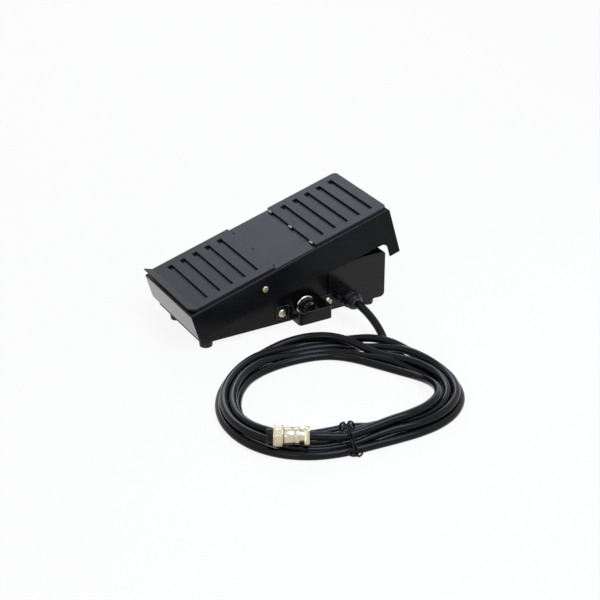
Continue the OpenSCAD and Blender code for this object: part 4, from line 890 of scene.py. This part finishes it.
gland_place = pointing(GLAND_AT, SIDE)
nut_bm = lathe(bmesh.new(), NUT_PROFILE, NUT_SIDES, gland_place, twist=NUT_TWIST)
corners = [e for e in nut_bm.edges if abs((e.verts[0].co - e.verts[1].co).x) > CORNER_LENGTH * MM]
rounded(nut_bm, corners, NUT_CORNER, 3)
lathe(nut_bm, DOME_PROFILE, DOME_STEPS, gland_place)
gland_nut = piece("gland_dome_nut", nut_bm, "base", "black_plastic", "gland_nut")
print("gland nut points:", len(gland_nut.data.vertices))

# %% [markdown]
# ## The plug
# The plug lies on the coil. From its tip it has a black insert, a coupling ring with a straight knurl, a
# shell with a groove and a collar, and a clamp of two saddles with a screw on each side.

# %% Plug: insert, ring and shell
PLUG_TIP = drawn(241.5, -21.4, 17.9)
PLUG_LINE = Vector((cosd(60), sind(60), 0))
KNURLS = 54
KNURL_STEPS = 8
INSERT_STEPS = 64
SHELL_STEPS = 72
INSERT_PROFILE = [(0, 0.9), (4.6, 0.9), (5.2, 0.8), (5.3, 0.1), (5.6, 0), (6.3, 0), (6.65, 0.25),
                  (6.8, 0.7), (6.8, 2.4), (6.55, 2.6), (6.55, 3.2), (6.8, 3.4), (6.8, 6.5), (6.4, 11.8),
                  (0.2, 11.8)]
RING_PROFILE = [(7.1, 6.6), (7.2, 6.1), (7.6, 6), (8.7, 6), (9.15, 6.2), (9.35, 6.6), (9.35, 7.1),
                (9.2, 7.2), (9.6, 7.5), (9.6, 13.5), (9.2, 13.8), (9.35, 13.9), (9.35, 14.4), (9.1, 14.8),
                (8.6, 15), (7.1, 15), (7.1, 6.6)]
SHELL_PROFILE = [(5, 15.3), (6.9, 15.3), (7.35, 15.5), (7.6, 16), (7.7, 16.8), (7.7, 23.4), (7.55, 23.7),
                 (7.15, 23.8), (7.15, 24.5), (7.55, 24.6), (7.8, 24.9), (7.9, 25.4), (7.9, 28),
                 (7.7, 28.6), (7.3, 28.9), (6.2, 29), (6.0, 29.4), (6.0, 30.4), (5.7, 30.8), (5.7, 33.4),
                 (5, 33.4)]

plug_place = pointing(PLUG_TIP, PLUG_LINE)
insert_bm = lathe(bmesh.new(), INSERT_PROFILE, INSERT_STEPS, plug_place)
insert = piece("plug_insert_face", insert_bm, "base", "rubber", "plug_insert", look="black_plastic")
ring_bm = lathe(bmesh.new(), RING_PROFILE, KNURLS * KNURL_STEPS, plug_place)
flute(ring_bm, plug_place, KNURLS, depth=0.16, low=7.4, high=13.6, least=9.4)
ring = piece("knurled_ring", ring_bm, "ring", "plug_metal", "plug_ring")
shell_bm = lathe(bmesh.new(), SHELL_PROFILE, SHELL_STEPS, plug_place)
shell = piece("plug_shell_turned", shell_bm, "base", "plug_metal", "plug_shell")
print("ring points:", len(ring.data.vertices))

# %% [markdown]
# A saddle starts as a cube. Its two long outer edges get a wide bevel, which makes the crown, and then all
# its edges get a narrow one. The clamp's screws face out of one saddle, one on each side of the cable.

# %% Plug: clamp
CLAMP_MID = 35.1
CLAMP_TURN = 62
SADDLE = (16.8, 5.2, 4.6)
SADDLE_OUT = 2.9
SADDLE_CROWN = 4.4
SADDLE_EDGE = 0.35

clamp_turned = Matrix.Rotation(math.radians(CLAMP_TURN), 4, "Z")
clamp_place = plug_place @ clamp_turned @ Matrix.Translation((0, 0, CLAMP_MID * MM))
clamp_bm = bmesh.new()
for side in (-1, 1):
    part = bmesh.new()
    bmesh.ops.create_cube(part, size=1.0)
    bmesh.ops.scale(part, vec=Vector(SADDLE) * MM, verts=part.verts)
    outer = [e for e in part.edges if all(v.co.y * side > 0 for v in e.verts)]
    crown = [e for e in outer if abs(e.verts[0].co.z - e.verts[1].co.z) > MM]
    bmesh.ops.bevel(part, geom=crown, offset=SADDLE_CROWN * MM, segments=6, profile=0.5, affect="EDGES",
                    material=-1)
    rounded(part, list(part.edges), SADDLE_EDGE, 2)
    place_part(clamp_bm, part, clamp_place @ Matrix.Translation((0, side * SADDLE_OUT * MM, 0)))
clamp = piece("clamp_saddles", clamp_bm, "base", "plug_metal", "plug_clamp")
print("clamp points:", len(clamp.data.vertices))

# %% Plug: clamp screws
CLAMP_SCREW_ACROSS = 5.6
CLAMP_SCREW_OUT = 3.9
CLAMP_HEAD = (1.8, 1.5)
CLAMP_HEAD_TURN = 30
CLAMP_SHANK = [(0.2, -7), (1, -7), (1.1, -6.6), (1.1, 0)]
CLAMP_SHANK_STEPS = 20

screw_bm = bmesh.new()
facing = clamp_place.to_3x3() @ Vector((0, 1, 0))
for side in (-1, 1):
    at = clamp_place @ Vector((side * CLAMP_SCREW_ACROSS * MM, CLAMP_SCREW_OUT * MM, 0))
    pan_head(screw_bm, at, facing, *CLAMP_HEAD, CLAMP_HEAD_TURN * side)
    lathe(screw_bm, CLAMP_SHANK, CLAMP_SHANK_STEPS, pointing(at, facing))
clamp_heads = piece("clamp_screw_heads", screw_bm, "base", "nickel", "clamp_screws")
print("clamp screw points:", len(clamp_heads.data.vertices))

# %% [markdown]
# ## The stage
# The pedal stands on a plain pale floor in front of a white backdrop. The floor and the world show white to
# the camera and to reflections, and light the object at a plain level. The floor keeps a soft shadow.

# %% Stage: floor
FLOOR_DROP = 0.0004
FLOOR_SIZE = 6.0
FLOOR_GLOW = 0.9
FLOOR_PAINT = (0.95, 0.9, 0.84, 1.0)
WHITE = (1.0, 1.0, 1.0, 1.0)


def seen_directly(tree):
    path = tree.nodes.new("ShaderNodeLightPath")
    total = path.outputs["Is Camera Ray"]
    for name in ("Is Glossy Ray", "Is Transmission Ray"):
        total = combined(tree, "MAXIMUM", total, path.outputs[name])
    return total


floor_bm = bmesh.new()
bmesh.ops.create_grid(floor_bm, x_segments=4, y_segments=4, size=FLOOR_SIZE,
                      matrix=Matrix.Translation((0, 0, -FLOOR_DROP)))
floor_mesh = bpy.data.meshes.new("floor")
floor_bm.to_mesh(floor_mesh)
floor_bm.free()
floor = bpy.data.objects.new("floor", floor_mesh)
scene.collection.objects.link(floor)

paper = bpy.data.materials.new("pale_floor")
paper.use_nodes = True
tree = paper.node_tree
tree.nodes.clear()
matte = add_node(tree, "ShaderNodeBsdfDiffuse", Color=FLOOR_PAINT)
glow = add_node(tree, "ShaderNodeEmission", Color=WHITE, Strength=1.0)
blend = tree.nodes.new("ShaderNodeMixShader")
join(tree, scaled(tree, seen_directly(tree), FLOOR_GLOW), blend.inputs[0])
join(tree, matte.outputs[0], blend.inputs[1])
join(tree, glow.outputs[0], blend.inputs[2])
join(tree, blend.outputs[0], tree.nodes.new("ShaderNodeOutputMaterial").inputs[0])
floor_mesh.materials.append(paper)
print("floor:", FLOOR_SIZE)

# %% [markdown]
# The world is white to the camera and to reflections too, but it lights the object with only a part of
# that. The rest comes from three soft lamps: a cool one over each side, and a weak warm one in front.

# %% Stage: world
WORLD_FILL = 0.34
world = bpy.data.worlds.new("studio")
scene.world = world
world.use_nodes = True
tree = world.node_tree
sky = tree.nodes["Background"]
sky.inputs["Color"].default_value = WHITE
join(tree, scaled(tree, seen_directly(tree), 1 - WORLD_FILL, WORLD_FILL), sky.inputs["Strength"])
print("world fill:", WORLD_FILL)

# %% Stage: lamps
def softbox(name, at, aim, width, depth, watts, tint):
    lamp = bpy.data.lights.new(name, "AREA")
    lamp.shape = "RECTANGLE"
    lamp.size = width
    lamp.size_y = depth
    lamp.energy = watts
    lamp.color = tint
    obj = bpy.data.objects.new(name, lamp)
    obj.location = at
    obj.rotation_euler = (Vector(aim) - Vector(at)).to_track_quat("-Z", "Y").to_euler()
    scene.collection.objects.link(obj)
    return obj


lamps = [
    softbox("far_sky", (-1.25, 0.45, 1.0), (0.06, 0, 0.04), 1.0, 0.6, 8, (0.72, 0.83, 1.0)),
    softbox("near_sky", (0.75, 0.18, 1.3), (0.08, 0, 0.03), 0.85, 0.85, 16, (0.64, 0.79, 1.0)),
    softbox("front_fill", (1.2, -1.3, 0.9), (0.08, 0, 0.03), 0.6, 0.6, 3, (1.0, 0.97, 0.93)),
]
print("lamps:", [lamp.name for lamp in lamps])

# %% [markdown]

print("scene complete")
